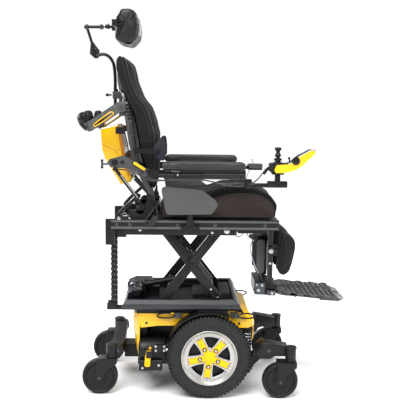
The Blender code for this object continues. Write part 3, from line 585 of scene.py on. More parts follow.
def spoke_bar(turn, outline, low, high):
    """A flat bar drawn as (along the spoke, across it) and laid out from the hub."""
    points = []
    for u, v in outline:
        x = u * math.cos(turn) - v * math.sin(turn)
        z = u * math.sin(turn) + v * math.cos(turn)
        points.append((x, HUB[1] + z))
    return prism(points, low, high)


def star_outline():
    """The wheel insert: five arms with a shallow notch in each tip."""
    half, tip, notch = 0.013, 0.089, 0.0045
    points = []
    for i in range(SPOKES):
        turn = FIRST_SPOKE + i * 2 * math.pi / SPOKES
        root = half / math.sin(math.pi / SPOKES)
        arm = [(tip, -half), (tip, -half * 0.45), (tip - notch, -half * 0.4), (tip - notch, half * 0.4),
               (tip, half * 0.45), (tip, half)]
        for u, v in arm:
            points.append((u * math.cos(turn) - v * math.sin(turn), HUB[1] + u * math.sin(turn) + v
                           * math.cos(turn)))
        between = turn + math.pi / SPOKES
        points.append((root * math.cos(between), HUB[1] + root * math.sin(between)))
    return points


def make_drive_rim(side_name, side):
    """The alloy rim, its yellow star, lug nuts and brake drum."""
    body = f"drive_wheel_{side_name}"
    lip = [(0.107, 0.231), (0.1196, 0.231), (0.1196, 0.295), (0.118, 0.2972), (0.115, 0.2965),
           (0.113, 0.2925), (0.109, 0.2895), (0.106, 0.286), (0.104, 0.27)]
    hub = [(0.04, 0.245), (0.04, 0.276), (0.036, 0.28)]
    shapes = [lathe(lip, HUB, steps=96, closed=True), lathe(hub, HUB, steps=48)]
    dish = [(0.089, 0.27), (0.089, 0.279), (0.0905, 0.28), (0.1, 0.283), (0.108, 0.286), (0.108, 0.27)]
    shapes.append(lathe(dish, HUB, steps=96, closed=True))
    for i in range(SPOKES):
        turn = FIRST_SPOKE + i * 2 * math.pi / SPOKES
        floor = [(0.02, -0.017), (0.1085, -0.021), (0.1085, 0.021), (0.02, 0.017)]
        shapes.append(spoke_bar(turn, floor, 0.27, 0.279))
        for flip in (-1, 1):
            rail = [(0.026, flip * 0.0145), (0.026, flip * 0.019), (0.06, flip * 0.0195),
                    (0.1095, flip * 0.0265), (0.1095, flip * 0.0175), (0.088, flip * 0.0145)]
            shapes.append(spoke_bar(turn, rail, 0.274, 0.2875))
            shapes.append(spoke_bar(turn, [(0.0915, flip * 0.004), (0.0915, flip * 0.0135),
                                           (0.1085, flip * 0.0165), (0.1085, flip * 0.004)], 0.274,
                                    0.2862))
        shapes.append(spoke_bar(turn, [(0.101, -0.0045), (0.1085, -0.0045), (0.1085, 0.0045),
                                       (0.101, 0.0045)], 0.274, 0.2862))
    piece(f"alloy_rim_{side_name}", body, on_side(shapes, side), ALLOY, 0.0009,
          [f"drive_rim_{side_name}"])
    star = [prism(star_outline(), 0.2785, 0.2868),
            lathe([(0.019, 0.286), (0.0185, 0.2885), (0.015, 0.2895)], HUB, steps=40)]
    piece(f"wheel_star_{side_name}", body, on_side(star, side), YELLOW_PLASTIC, 0.0012)
    rings, caps = [], []
    for i in range(SPOKES):
        at = around_hub(0.04, FIRST_SPOKE + i * 2 * math.pi / SPOKES, 0)
        centre = (at.x, at.z)
        rings.append(lathe([(0.0095, 0.286), (0.0095, 0.2885), (0.0085, 0.2895), (0.0068, 0.2895),
                            (0.0062, 0.287)], centre, steps=28))
        caps.append(lathe([(0.006, 0.2865), (0.006, 0.2915), (0.0048, 0.2935), (0.0026, 0.2946),
                           (0.0006, 0.2949)], centre, steps=24))
    piece(f"lug_recesses_{side_name}", body, on_side(rings, side), SATIN_BLACK, 0.0004)
    piece(f"lug_nuts_{side_name}", body, on_side(caps, side), STEEL, 0)
    drum = [lathe([(0.03, 0.2065), (0.102, 0.23), (0.104, 0.255), (0.09, 0.262), (0.04, 0.264)], HUB,
                  steps=64)]
    piece(f"brake_drum_{side_name}", body, on_side(drum, side), PLASTIC_BLACK, 0.001)


# Casters -------------------------------------------------------------------------------------

BARRELS = {"front": (0.348, 0.268), "rear": (-0.418, 0.216)}
BARREL_RADIUS = 0.023
FORK_FACE = 0.0318


def make_caster(where, side_name):
    """A solid caster with its disc, axle nuts and swivel details."""
    spin = f"{where}_caster_{side_name}"
    swivel = f"{where}_swivel_{side_name}"
    low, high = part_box(spin)
    hub_x = (low.x + high.x) / 2 - AXLE_X
    y = (low.y + high.y) / 2
    radius = (high.z - low.z) / 2
    centre = (hub_x, radius)
    half = (high.y - low.y) / 2 - 0.0025
    section = [(0.06, 0.78), (0.064, 0.95), (0.0685, 1.0), (0.0725, 0.93), (0.0752, 0.74),
               (0.0762, 0.42)]
    profile = [(r, y + k * half) for r, k in section] + [(r, y - k * half) for r, k in section[::-1]]
    piece(f"caster_tyre_{where}_{side_name}", spin, [lathe(profile, centre, steps=72, closed=True)],
          CASTER_RUBBER, 0, [spin])
    shapes = []
    for face in (-1, 1):
        faces = [(0.0604, 0.1), (0.0604, 0.86), (0.0585, 0.9), (0.056, 0.74), (0.033, 0.66),
                 (0.031, 0.78), (0.02, 0.8), (0.018, 0.94), (0.011, 1.0)]
        shapes.append(lathe([(r, y + face * k * half) for r, k in faces], centre, steps=56))
        mark = [Vector((hub_x + 0.045 * math.cos(math.radians(a)), y + face * 0.74 * half, radius
                        + 0.045 * math.sin(math.radians(a)))) for a in range(20, 95, 9)]
        shapes.append(sweep(mark, circle(0.0011, 6)))
    piece(f"caster_disc_{where}_{side_name}", spin, shapes, PLASTIC_BLACK, 0.0005)

    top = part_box(f"{where}_fork_{side_name}")[1].z
    nuts = []
    for face in (-1, 1):
        nuts += bolt((hub_x, y + face * FORK_FACE, radius), (0, face, 0), 0.0062, 0.0045, socket=False)
    piece(f"caster_nuts_{where}_{side_name}", swivel, nuts, DARK_STEEL, 0.0004)
    stem_x = BARRELS[where][0]
    cheeks = []
    for face in (-1, 1):
        outline = rounded([(stem_x + 0.021, top - 0.003, 0.004), (stem_x - 0.05, top - 0.003, 0.006),
                           (hub_x - 0.012, 0.104, 0.01), (hub_x - 0.01, 0.07, 0.012),
                           (hub_x + 0.01, 0.07, 0.012), (hub_x + 0.017, 0.104, 0.01),
                           (stem_x + 0.019, 0.14, 0.006)])
        cheeks.append(prism(outline, y + face * FORK_FACE, y + face * 0.0335))
    cheeks.append(disc((stem_x, y), 0.02, top - 0.0005, top + 0.0004, "Z", 32, 0.0003))
    piece(f"fork_cheeks_{where}_{side_name}", swivel, cheeks, PLASTIC_BLACK, 0.0012)


def barrel_trim(x, y, low, high):
    """The cap and the collar that dress a caster barrel."""
    r = BARREL_RADIUS
    cap = lathe([(r - 0.001, high - 0.006), (r + 0.0016, high - 0.0055), (r + 0.0018, high + 0.001),
                 (r - 0.001, high + 0.0038), (r - 0.006, high + 0.005), (0.001, high + 0.0054)], (x, y),
                "Z", 40)
    collar = disc((x, y), r + 0.0012, low + 0.0002, low + 0.0075, "Z", 40, 0.0012)
    return [cap, collar]


def make_caster_arms():
    """Trim and bolts of the front suspension arms and of the rear beam."""
    for side_name, side in SIDES:
        shapes = barrel_trim(*BARRELS["front"], 0.16, 0.2205)
        rib = rounded([(0.212, 0.198, 0.006), (0.236, 0.23, 0.01), (0.318, 0.217, 0.006),
                       (0.318, 0.185, 0.006), (0.274, 0.186, 0.006), (0.244, 0.176, 0.006),
                       (0.222, 0.174, 0.006)])
        shapes.append(prism(rib, 0.261, 0.2638))
        piece(f"front_arm_trim_{side_name}", f"front_suspension_{side_name}", on_side(shapes, side),
              POWDER_BLACK, 0.0012)
        screws = bolt((0.256, 0.2638, 0.202), (0, 1, 0), 0.0058, 0.004)
        screws += bolt((0.15, 0.2045, 0.105), (0, 1, 0), 0.008, 0.005, socket=False)
        screws += bolt((0.185, 0.204, 0.102), (0, 1, 0), 0.004, 0.003)
        piece(f"front_arm_bolts_{side_name}", f"front_suspension_{side_name}", on_side(screws, side),
              DARK_STEEL, 0.0003)
    shapes, screws = [], []
    for _, side in SIDES:
        shapes += on_side(barrel_trim(*BARRELS["rear"], 0.16, 0.215), side)
        gusset = rounded([(-0.418, 0.214, 0.008), (-0.392, 0.214, 0.012), (-0.372, 0.196, 0.006),
                          (-0.372, 0.172, 0.006), (-0.402, 0.166, 0.006), (-0.418, 0.172, 0.004)])
        shapes += on_side([prism(gusset, 0.19, 0.2225)], side)
        screws += on_side(bolt((-0.392, 0.2225, 0.188), (0, 1, 0), 0.005, 0.0035), side)
    shapes.append(disc((0, 0.152), 0.02, -0.436, -0.43, "X", 36, 0.002))
    screws += bolt((-0.436, 0, 0.152), (-1, 0, 0), 0.008, 0.0055, socket=False)
    piece("rear_beam_trim", "rear_beam", shapes, POWDER_BLACK, 0.0012)
    piece("rear_beam_bolts", "rear_beam", screws, DARK_STEEL, 0.0003)


def make_springs():
    """Coil-over springs: a real helix round a damper rod, between two seats."""
    low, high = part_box("front_spring_left")
    x, y = middle_of("front_spring_left").x - AXLE_X, middle_of("front_spring_left").y
    turns, radius, wire = 6.5, 0.0148, 0.0028
    base, top = low.z + 0.008, high.z - 0.008
    steps = int(turns * 24)
    helix = []
    for i in range(steps + 1):
        t = i / steps
        angle = 2 * math.pi * turns * t
        helix.append(Vector((x + radius * math.cos(angle), y + radius * math.sin(angle), base
                             + (top - base) * t)))
    for side_name, side in SIDES:
        body = f"front_suspension_{side_name}"
        coil = [sweep(helix, circle(wire, 8), (0, 0, 1))]
        obj = as_object(f"coil_spring_{side_name}", on_side(coil, side))
        obj.data.shade_smooth()
        obj.data.materials.append(STEEL)
        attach(obj, body)
        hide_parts(f"front_spring_{side_name}")
        seats = [disc((x, y), 0.0175, low.z + 0.001, base, "Z", 32, 0.001), disc((x, y), 0.0068, low.z
                                                                                 + 0.001, high.z - 0.02,
                                                                                 "Z", 24, 0.001)]
        piece(f"spring_lower_seat_{side_name}", body, on_side(seats, side), SATIN_BLACK, 0.0005)
        crown = [disc((x, y), 0.0175, top, high.z, "Z", 32, 0.001),
                 disc((x, y), 0.009, high.z - 0.045, top, "Z", 24, 0.001)]
        piece(f"spring_upper_seat_{side_name}", "chassis", on_side(crown, side), SATIN_BLACK, 0.0005)


# Shroud, fenders and lift cover --------------------------------------------------------------

COWL_HALF = 0.205
BAND_FACE = 0.2048
HOOD_START = 152  # degrees round the hub, from +X towards +Z


def cowl(levels, out, step, shoulder, corner):
    """An open cowl from levels of (height, outer end, chamfer, inner edge); out is its way along X."""
    points, faces = [], []
    for z, end, chamfer, inner in levels:
        ring = [(inner, COWL_HALF), (end - out * chamfer, COWL_HALF - 0.001),
                (end - out * step, COWL_HALF - shoulder), (end, COWL_HALF - corner),
                (end + out * 0.0004, 0.0)]
        ring += [(x, -y) for x, y in ring[:-1][::-1]]
        points += [Vector((x, y, z)) for x, y in ring]
    count = len(ring)
    for level in range(len(levels) - 1):
        for a in range(level * count, (level + 1) * count - 1):
            if out < 0:
                faces.append([a, a + 1, a + count + 1, a + count])
            else:
                faces.append([a, a + count, a + count + 1, a + 1])
    return points, faces


def make_shroud():
    """Faceted yellow cowls at both ends, joined by side bands above the wheels."""
    rear_levels = [(0.1705, -0.312, 0.006, -0.303), (0.215, -0.32, 0.012, -0.3005),
                   (0.264, -0.3265, 0.018, -0.299), (0.295, -0.33, 0.022, -0.298),
                   (0.324, -0.3325, 0.026, -0.29), (0.344, -0.328, 0.024, -0.28),
                   (0.348, -0.324, 0.022, -0.275)]
    front_levels = [(0.286, 0.1985, 0.03, 0.114), (0.3, 0.199, 0.034, 0.1),
                    (0.316, 0.1965, 0.036, 0.09), (0.352, 0.17, 0.034, 0.08), (0.36, 0.13, 0.03, 0.07)]
    obj = as_object("shroud_cowls", [cowl(rear_levels, -1, 0.006, 0.03, 0.052),
                                     cowl(front_levels, 1, 0.01, 0.024, 0.046)])
    skin = obj.modifiers.new("skin", "SOLIDIFY")
    skin.thickness = 0.0035
    skin.offset = -1
    ease_edges(obj, 0.0014, angle=9)
    obj.data.materials.append(YELLOW)
    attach(obj, "chassis")
    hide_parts("base_shroud")

    band = [(-0.3, 0.348), (-0.295, 0.285), (-0.219, 0.294), (0.0, 0.2955), (0.114, 0.295),
            (0.15, 0.29), (0.16, 0.287), (0.156, 0.348), (0.1, 0.348)]
    ridge = [(-0.295, 0.333), (-0.293, 0.324), (0.16, 0.32), (0.158, 0.329)]
    bands = [prism(band, 0.1995, BAND_FACE), prism(ridge, 0.2045, 0.2062)]
    recess = [prism([(-0.306, 0.3475), (0.15, 0.3475), (0.138, 0.372), (-0.302, 0.372)], 0.196, 0.201),
              box((-0.312, -0.304), (0.0, 0.199), (0.3475, 0.372))]
    piece("shroud_recess", "chassis", with_mirror(recess), PLASTIC_BLACK, 0.0008)
    piece("shroud_bands", "chassis", with_mirror(bands), YELLOW, 0.0012)
    apron = [prism([(0.19, 0.289), (0.1965, 0.289), (0.196, 0.24), (0.193, 0.224), (0.188, 0.224)],
                   -0.17, 0.17)]
    piece("shroud_apron", "chassis", apron, YELLOW, 0.0012)
    hoods = []
    for end, outer, inner, width in ((64, 0.1905, 0.1868, (0.2062, 0.2845)),
                                     (100, 0.1925, 0.1904, (0.273, 0.2852))):
        angles = [math.radians(HOOD_START - (HOOD_START - end) * i / 22) for i in range(23)]
        arc = [(outer * math.cos(t), HUB[1] + outer * math.sin(t)) for t in angles]
        arc += [(inner * math.cos(t), HUB[1] + inner * math.sin(t)) for t in angles[::-1]]
        hoods.append(prism(arc, *width))
    piece("fenders", "chassis", with_mirror(hoods), PLASTIC_BLACK, 0.001)
    screws = []
    for x, z in ((-0.27, 0.306), (-0.12, 0.306), (0.13, 0.305)):
        screws += bolt((x, BAND_FACE, z), (0, 1, 0), 0.0042, 0.0022)
    piece("shroud_screws", "chassis", with_mirror(screws), DARK_STEEL, 0.0003)


def make_lift_cover():
    """Bevelled tray round the lift: a light upper facet, a fine groove and a dark lower facet."""
    rings = []
    levels = [(-0.367, 0.127, 0.239, 0.3725), (-0.372, 0.133, 0.2445, 0.3785),
              (-0.3705, 0.1315, 0.245, 0.387), (-0.3685, 0.13, 0.2436, 0.3876),
              (-0.3683, 0.1298, 0.2436, 0.3888), (-0.369, 0.1302, 0.2448, 0.3894),
              (-0.366, 0.127, 0.244, 0.3985), (-0.356, 0.115, 0.229, 0.4128),
              (-0.353, 0.109, 0.224, 0.413), (-0.351, 0.104, 0.206, 0.411),
              (-0.35, 0.104, 0.204, 0.3725)]
    for rear, front, half, z in levels:
        rings.append([(rear, -half, z), (front, -half, z), (front, half, z), (rear, half, z)])
    piece("lift_tray", "chassis", [stack(rings, closed=True)], COVER_GREY, 0.0009, ["lift_cover"],
          angle=12)
    shapes = [box((-0.355, 0.106), (-0.138, 0.138), (0.3822, 0.385))]
    for side in (-1, 1):
        shapes.append(prism([(-0.055, 0.37), (-0.045, 0.356), (0.07, 0.356), (0.082, 0.37)], side
                            * 0.208, side * 0.242))
    piece("lift_floor", "chassis", shapes, TRAY_BLACK, 0.0012)


def make_tie_downs():
    """Black steel loops and their clamps on each side, under the lift cover."""
    loops, clamps = [], []
    for centre, reach in ((-0.186, 0.038), (0.16, 0.036)):
        turns = [2 * math.pi * i / 20 for i in range(20)]
        route = [Vector((centre + reach * math.cos(t), 0.219 + 0.003 * math.cos(2 * t), 0.342 + 0.011
                         * math.sin(t))) for t in turns]
        loops.append(sweep(route, circle(0.0036, 8), (0, 1, 0.05), closed=True))
        inward = 1 if centre < 0 else -1
        for k in range(3):
            x = centre + inward * (reach + 0.004 + 0.011 * k)
            clamps.append(box((x - 0.0042, x + 0.0042), (0.2062, 0.224), (0.331, 0.356)))
            for z in (0.349, 0.338):
                clamps += bolt((x, 0.224, z), (0, 1, 0), 0.0028, 0.0022)
    tags = [box((-0.164, -0.152), (0.218, 0.224), (0.35, 0.356))]
    for name, shapes, material, ease in (("tie_loops", loops, SATIN_BLACK, 0),
                                         ("tie_clamps", clamps, DARK_STEEL, 0.0006),
                                         ("tie_tags", tags, YELLOW_PLASTIC, 0.0006)):
        piece(name, "chassis", with_mirror(shapes), material, ease)


def make_lift_motor():
    """The lift motor that lies across the rear of the tray, and the tube it drives."""
    centre = (-0.323, 0.439)
    can = lathe([(0.02, -0.144), (0.029, -0.14), (0.032, -0.132), (0.032, -0.088)], centre, steps=48)
    piece("lift_motor_can", "chassis", [can], MOTOR_GLOSS, 0.0006)
    bands = [disc(centre, 0.0328, a, a + 0.004, steps=48, round_by=0.0012)
             for a in (-0.131, -0.112, -0.094)]
    bands.append(lathe([(0.001, -0.149), (0.006, -0.1486), (0.0064, -0.146), (0.0125, -0.1455),
                        (0.015, -0.1435)], centre, steps=40))
    piece("lift_motor_bands", "chassis", bands, DARK_STEEL, 0.0004)
    housing = rounded([(-0.36, 0.386, 0.006), (-0.36, 0.46, 0.016), (-0.325, 0.472, 0.012),
                       (-0.288, 0.46, 0.008), (-0.278, 0.414, 0.004), (-0.278, 0.386, 0.004)])
    shapes = [prism(housing, -0.088, -0.02), rod((-0.295, -0.055, 0.442), (-0.146, -0.055, 0.47),
                                                 0.0135, 24),
              box((-0.356, -0.3), (-0.13, 0.125), (0.385, 0.408)), rounded_box((-0.27, -0.22),
                                                                               (-0.035, 0.06),
                                                                               (0.385, 0.43), 0.006),
              rounded_box((-0.34, -0.255), (0.03, 0.115), (0.385, 0.445), 0.008), disc((-0.26, 0.448),
                                                                                       0.0165, -0.064,
                                                                                       -0.046, steps=28,
                                                                                       round_by=0.002)]
    piece("lift_motor_housing", "chassis", shapes, SATIN_BLACK, 0.0012)
    tracks = [box((-0.26, 0.09), span(side, 0.145, 0.149), (0.385, 0.4)) for side in (-1, 1)]
    tracks += [rounded_box((-0.07, 0.03), (-0.095, 0.095), (0.385, 0.408), 0.006),
               rounded_box((0.045, 0.095), (-0.115, 0.115), (0.385, 0.418), 0.006)]
    piece("lift_tray_fittings", "chassis", tracks, TRAY_BLACK, 0.0012)


def make_freewheel_knob(side_name, side):
    """The yellow tag that frees the brake: a rounded grip on a narrow neck."""
    outline = rounded([(-0.2685, 0.196, 0.006), (-0.244, 0.196, 0.006), (-0.25, 0.17, 0.01),
                       (-0.2515, 0.1255, 0.01), (-0.2765, 0.1255, 0.01), (-0.2735, 0.168, 0.01)], 5)
    shapes = [prism(outline, 0.2456, 0.2516)]
    for k in range(3):
        z = 0.136 + 0.0075 * k
        shapes.append(rod((-0.271, 0.2515, z), (-0.257, 0.2515, z), 0.0012, 8))
    neck = [rounded_box((-0.269, -0.243), (0.2514, 0.2534), (0.164, 0.195), 0.004, "Y")]
    piece(f"freewheel_neck_{side_name}", f"freewheel_lever_{side_name}", on_side(neck, side),
          SATIN_BLACK, 0.0006)
    piece(f"freewheel_grip_{side_name}", f"freewheel_lever_{side_name}", on_side(shapes, side),
          YELLOW_PLASTIC, 0.001, [f"freewheel_lever_{side_name}"])


def make_motor_details(side_name, side):
    """End cap, cooling ribs, brake housing and wiring boss of one drive motor."""
    y, z = 0.19, 0.185
    shapes = [lathe([(0.03, -0.304), (0.042, -0.302), (0.048, -0.296), (0.0505, -0.286),
                     (0.0505, -0.274)], (y, z), "X", 40)]
    for i in range(6):
        shapes.append(disc((y, z), 0.0515, -0.268 + 0.011 * i, -0.263 + 0.011 * i, "X", 40, 0.001))
    shapes.append(rounded_box((-0.195, -0.06), (0.195, 0.22), (0.15, 0.215), 0.008, "X"))
    shapes.append(rounded_box((-0.3, -0.2), (0.198, 0.244), (0.104, 0.152), 0.008, "X"))
    shapes.append(rounded_box((-0.235, -0.185), (0.228, 0.2435), (0.188, 0.22), 0.005, "Y"))
    piece(f"motor_housing_{side_name}", "chassis", on_side(shapes, side), POWDER_BLACK, 0.0012)
    screws = []
    for x, h in ((-0.228, 0.213), (-0.192, 0.213), (-0.228, 0.195), (-0.192, 0.195), (-0.215, 0.13),
                 (-0.285, 0.118)):
        screws += bolt((x, 0.2436, h), (0, 1, 0), 0.0036, 0.0026)
    screws.append(lathe([(0.006, -0.185), (0.006, -0.178), (0.0042, -0.175), (0.0042, -0.15)],
                        (0.236, 0.198), "X", 20))
    piece(f"motor_fittings_{side_name}", "chassis", on_side(screws, side), STEEL, 0.0003)
    knob = [lathe([(0.0125, 0.2435), (0.0125, 0.2475), (0.011, 0.2485)], (-0.252, 0.208), "Y", 28)]
    piece(f"brake_knob_{side_name}", "chassis", on_side(knob, side), SATIN_BLACK, 0.0005)
    cross = [box((-0.26, -0.244), (0.2484, 0.2496), (0.2065, 0.2095)),
             box((-0.2535, -0.2505), (0.2484, 0.2496), (0.2, 0.216))]
    piece(f"brake_mark_{side_name}", "chassis", on_side(cross, side), YELLOW_PLASTIC, 0.0003)


# Soft goods ----------------------------------------------------------------------------------

SIM_FRAMES = 20
SIM_PRESSURE = 4.0
SIM_QUALITY = 4
CLOTH_MASS = 0.3
STRETCH_STIFFNESS, SHEAR_STIFFNESS, BEND_STIFFNESS = 15, 5, 0.5


def applied(obj):
    """Bakes an object's modifiers into its mesh."""
    graph = bpy.context.evaluated_depsgraph_get()
    mesh = bpy.data.meshes.new_from_object(obj.evaluated_get(graph))
    mesh.name = obj.name
    obj.modifiers.clear()
    obj.data = mesh


def coordinates(mesh):
    return [v.co.copy() for v in mesh.vertices]


def inflate(obj, cap, hold):
    """Swells a closed mesh as stuffed cloth. No point moves further than cap times hold(normal)."""
    start = coordinates(obj.data)
    normals = [v.normal.copy() for v in obj.data.vertices]
    cloth = obj.modifiers.new("cloth", "CLOTH")
    settings = cloth.settings
    settings.quality = SIM_QUALITY
    settings.mass = CLOTH_MASS
    settings.tension_stiffness = STRETCH_STIFFNESS
    settings.compression_stiffness = STRETCH_STIFFNESS
    settings.shear_stiffness = SHEAR_STIFFNESS
    settings.bending_stiffness = BEND_STIFFNESS
    settings.use_pressure = True
    settings.uniform_pressure_force = SIM_PRESSURE
    settings.effector_weights.gravity = 0
    cloth.point_cache.frame_start = 1
    cloth.point_cache.frame_end = SIM_FRAMES
    for step in range(1, SIM_FRAMES + 1):
        bpy.context.scene.frame_set(step)
    applied(obj)
    bpy.context.scene.frame_set(1)
    for vertex, was, normal in zip(obj.data.vertices, start, normals):
        move = vertex.co - was
        limit = cap * hold(normal)
        if move.length > limit:
            vertex.co = was + move * (limit / move.length)


def soft_object(name, shapes, voxel, cap, hold=lambda normal: 1.0, within=None, proud=0.003, smooth=6):
    """A stuffed piece: a remeshed shape, swelled as cloth and kept within a CAD node's box."""
    obj = as_object(name, shapes)
    remesh = obj.modifiers.new("remesh", "REMESH")
    remesh.mode = "VOXEL"
    remesh.voxel_size = voxel
    applied(obj)
    ease = obj.modifiers.new("smooth", "SMOOTH")
    ease.iterations = smooth
    ease.factor = 0.5
    applied(obj)
    inflate(obj, cap, hold)
    ease = obj.modifiers.new("smooth", "SMOOTH")
    ease.iterations = 3
    applied(obj)
    if within:
        low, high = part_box(within)
        for vertex in obj.data.vertices:
            vertex.co = [min(max(c, a - proud), b + proud) for c, a, b in zip(vertex.co, low, high)]
    finer = obj.modifiers.new("finer", "SUBSURF")
    finer.levels = finer.render_levels = 1
    applied(obj)
    obj.data.shade_smooth()
    return obj


def finish_soft(obj, body, materials, replaces=(), choose=None):
    """Gives a stuffed piece its fabrics and its body. choose(centre, normal) picks a fabric."""
    for material in materials:
        obj.data.materials.append(material)
    if choose:
        for face in obj.data.polygons:
            centre = face.center - TO_ROW.translation
            face.material_index = choose(centre, face.normal)
    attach(obj, body)
    if replaces:
        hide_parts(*replaces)
    return obj


def surface_of(obj):
    """A tree for finding points on an object's surface, in chair places."""
    mesh = bmesh.new()
    mesh.from_mesh(obj.data)
    bmesh.ops.translate(mesh, verts=mesh.verts, vec=-TO_ROW.translation)
    tree = BVHTree.FromBMesh(mesh)
    mesh.free()
    return tree


def on_surface(tree, points, direction, lift=0.0):
    """Points moved along a direction until they meet the surface, then lifted off it."""
    found = []
    direction = Vector(direction).normalized()
    for point in points:
        hit, normal, _, _ = tree.ray_cast(Vector(point) - direction * 0.4, direction)
        if hit is not None:
            found.append(hit + normal * lift)
    return found


def seam(name, body, tree, lines, direction, radius, material, stitches=False):
    """Piping or a stitched seam laid along lines on a soft piece."""
    shapes, ticks = [], []
    for line in lines:
        route = on_surface(tree, smooth_route(line, 8), direction, radius * 0.25)
        if len(route) < 3:
            continue
        shapes.append(sweep(route, circle(radius, 8), (0.03, 1, 0.02) if abs(direction[1]) < 0.5
                            else (1, 0.02, 0.03)))
        if stitches:
            fine = on_surface(tree, smooth_route(line, 24), direction, 0.0004)
            for a, b in zip(fine[::2], fine[1::2]):
                ticks.append(rod(a, b, 0.001, 6))
    piece(name, body, shapes, material, 0)
    if ticks:
        piece(name + "_stitches", body, ticks, THREAD, 0)


def shrunk(outline, by):
    """An outline drawn in towards its middle by a distance."""
    cx = sum(p[0] for p in outline) / len(outline)
    cz = sum(p[1] for p in outline) / len(outline)
    points = []
    for x, z in outline:
        reach = math.hypot(x - cx, z - cz)
        points.append((cx + (x - cx) * (1 - by / reach), cz + (z - cz) * (1 - by / reach)))
    return points


def pillow(outline, half, middle=0.0, shape=lambda x, y, z: (x, z), edge=0.016):
    """A pad across Y whose two sides are drawn in; shape(x, y, z) bends its middle."""
    rings = []
    stations = [(1.0, edge), (0.985, edge * 0.5), (0.955, edge * 0.18), (0.9, 0.0)]
    ys = [(-k * half, d) for k, d in stations] + [(half * k / 8, 0.0) for k in range(-7, 8)]
    ys += [(k * half, d) for k, d in stations[::-1]]
    for y, inset in ys:
        bent = [shape(x, y, z) for x, z in shrunk(outline, inset)]
        rings.append([(x, middle + y, z) for x, z in bent])
    return stack(rings)


def make_seat_cushion():
    """The contoured seat cushion: a dark top, brown sides and piping between them."""
    outline = rounded([(-0.219, 0.7615, 0.014), (-0.217, 0.852, 0.03), (-0.12, 0.862, 0.03),
                       (-0.01, 0.868, 0.03), (0.06, 0.89, 0.04), (0.13, 0.893, 0.04),
                       (0.2, 0.886, 0.06), (0.262, 0.862, 0.04), (0.294, 0.818, 0.03),
                       (0.284, 0.778, 0.02), (0.266, 0.7615, 0.016), (0.1, 0.7612, 0.0)], 5)

    def contour(x, y, z):
        if z < 0.83:
            return x, z
        thigh = 0.012 * math.exp(-((abs(y) - 0.098) / 0.05) ** 2) * min(1.0, max(0.0, (x + 0.05) / 0.1))
        well = 0.01 * math.exp(-(y / 0.13) ** 2) * min(1.0, max(0.0, (0.02 - x) / 0.08))
        return x, z - thigh - well

    obj = soft_object("seat_pad", [pillow(outline, 0.207, shape=contour)], 0.0065, 0.008, lambda n: 0.05
                      if n.z < -0.5 else 1.0, "seat_cushion", 0.002, 8)
    seam_x = [(-0.205, 0.832), (-0.1, 0.838), (0.0, 0.846), (0.07, 0.864), (0.14, 0.871),
              (0.205, 0.862), (0.252, 0.836), (0.272, 0.8)]

    def fabric(centre, normal):
        for (x0, z0), (x1, z1) in zip(seam_x, seam_x[1:]):
            if x0 <= centre.x < x1:
                below = centre.z < z0 + (z1 - z0) * (centre.x - x0) / (x1 - x0)
                return 1 if below and abs(centre.y) > 0.196 else 0
        return 0

    finish_soft(obj, "seat", [FABRIC_TOP, FABRIC_SIDE], ["seat_cushion"], fabric)
    tree = surface_of(obj)
    lines = [[(x, 0, z) for x, z in seam_x]]
    for side_name, side in SIDES:
        seam(f"seat_side_seam_{side_name}", "seat", tree, lines, (0, -side, 0), 0.0016, PIPING, True)
    across = [[(x, y, 0.8) for y in (-0.19, -0.12, -0.05, 0.05, 0.12, 0.19)] for x in (0.06, -0.12)]
    seam("seat_cross_seams", "seat", tree, across, (0, 0, -1), 0.0014, PIPING, False)


def make_back_cushion():
    """The tall back cushion, hollowed between its bolsters."""
    front = [(-0.391, 1.441), (-0.376, 1.445), (-0.361, 1.438), (-0.35, 1.418), (-0.33, 1.342),
             (-0.304, 1.28), (-0.267, 1.231), (-0.245, 1.17), (-0.231, 1.114), (-0.229, 1.06),
             (-0.23, 0.98), (-0.232, 0.905), (-0.236, 0.882)]
    rear = [(-0.246, 0.88), (-0.251, 0.906), (-0.272, 0.966), (-0.293, 1.031), (-0.308, 1.121),
            (-0.323, 1.19), (-0.353, 1.254), (-0.374, 1.3), (-0.391, 1.345), (-0.402, 1.39),
            (-0.402, 1.425)]

    def depth(z):
        return 0.026 * min(1.0, max(0.0, (z - 0.9) / 0.08)) * min(1.0, max(0.0, (1.43 - z) / 0.1))

    def scooped(x, y, z):
        towards_front = x > -0.262 if z < 1.2 else x > -0.4 - (1.42 - z) * 0.36 + 0.012
        if not towards_front:
            return x, z
        hollow = depth(z) * max(0.0, 1 - (y / 0.15) ** 2)
        return x - hollow, z

    shape = pillow(front + rear, 0.182, shape=scooped, edge=0.01)
    obj = soft_object("back_pad", [shape], 0.006, 0.009, lambda n: 0.1 if n.x < -0.2 else 1.0,
                      "back_cushion", 0.003, 5)
    finish_soft(obj, "back", [FABRIC_BACK], ["back_cushion"])
    tree = surface_of(obj)

    def offset(points, by):
        moved = []
        for i, (x, z) in enumerate(points):
            a, b = points[max(0, i - 1)], points[min(len(points) - 1, i + 1)]
            along = Vector((b[0] - a[0], b[1] - a[1])).normalized()
            moved.append((x + along.y * by, z - along.x * by))
        return moved

    profile = front[2:-1]
    for side_name, side in SIDES:
        lines = [[(x, 0, z) for x, z in offset(profile, by)] for by in (0.012, 0.026)]
        seam(f"back_side_ridges_{side_name}", "back", tree, lines[:1], (0, -side, 0), 0.003, PIPING)
        seam(f"back_side_seam_{side_name}", "back", tree, lines[1:], (0, -side, 0), 0.0018, PIPING,
             True)
        edge = [[(0, side * 0.118, z) for z in (0.905, 0.98, 1.06, 1.14, 1.22, 1.3, 1.37, 1.41)]]
        seam(f"back_bolster_seam_{side_name}", "back", tree, edge, (-1, 0, 0), 0.0018, PIPING, True)
    cross = [[(0, y, z) for y in (-0.115, -0.06, 0, 0.06, 0.115)] for z in (1.02, 1.17, 1.32)]
    seam("back_cross_seams", "back", tree, cross, (-1, 0, 0), 0.0014, PIPING, False)


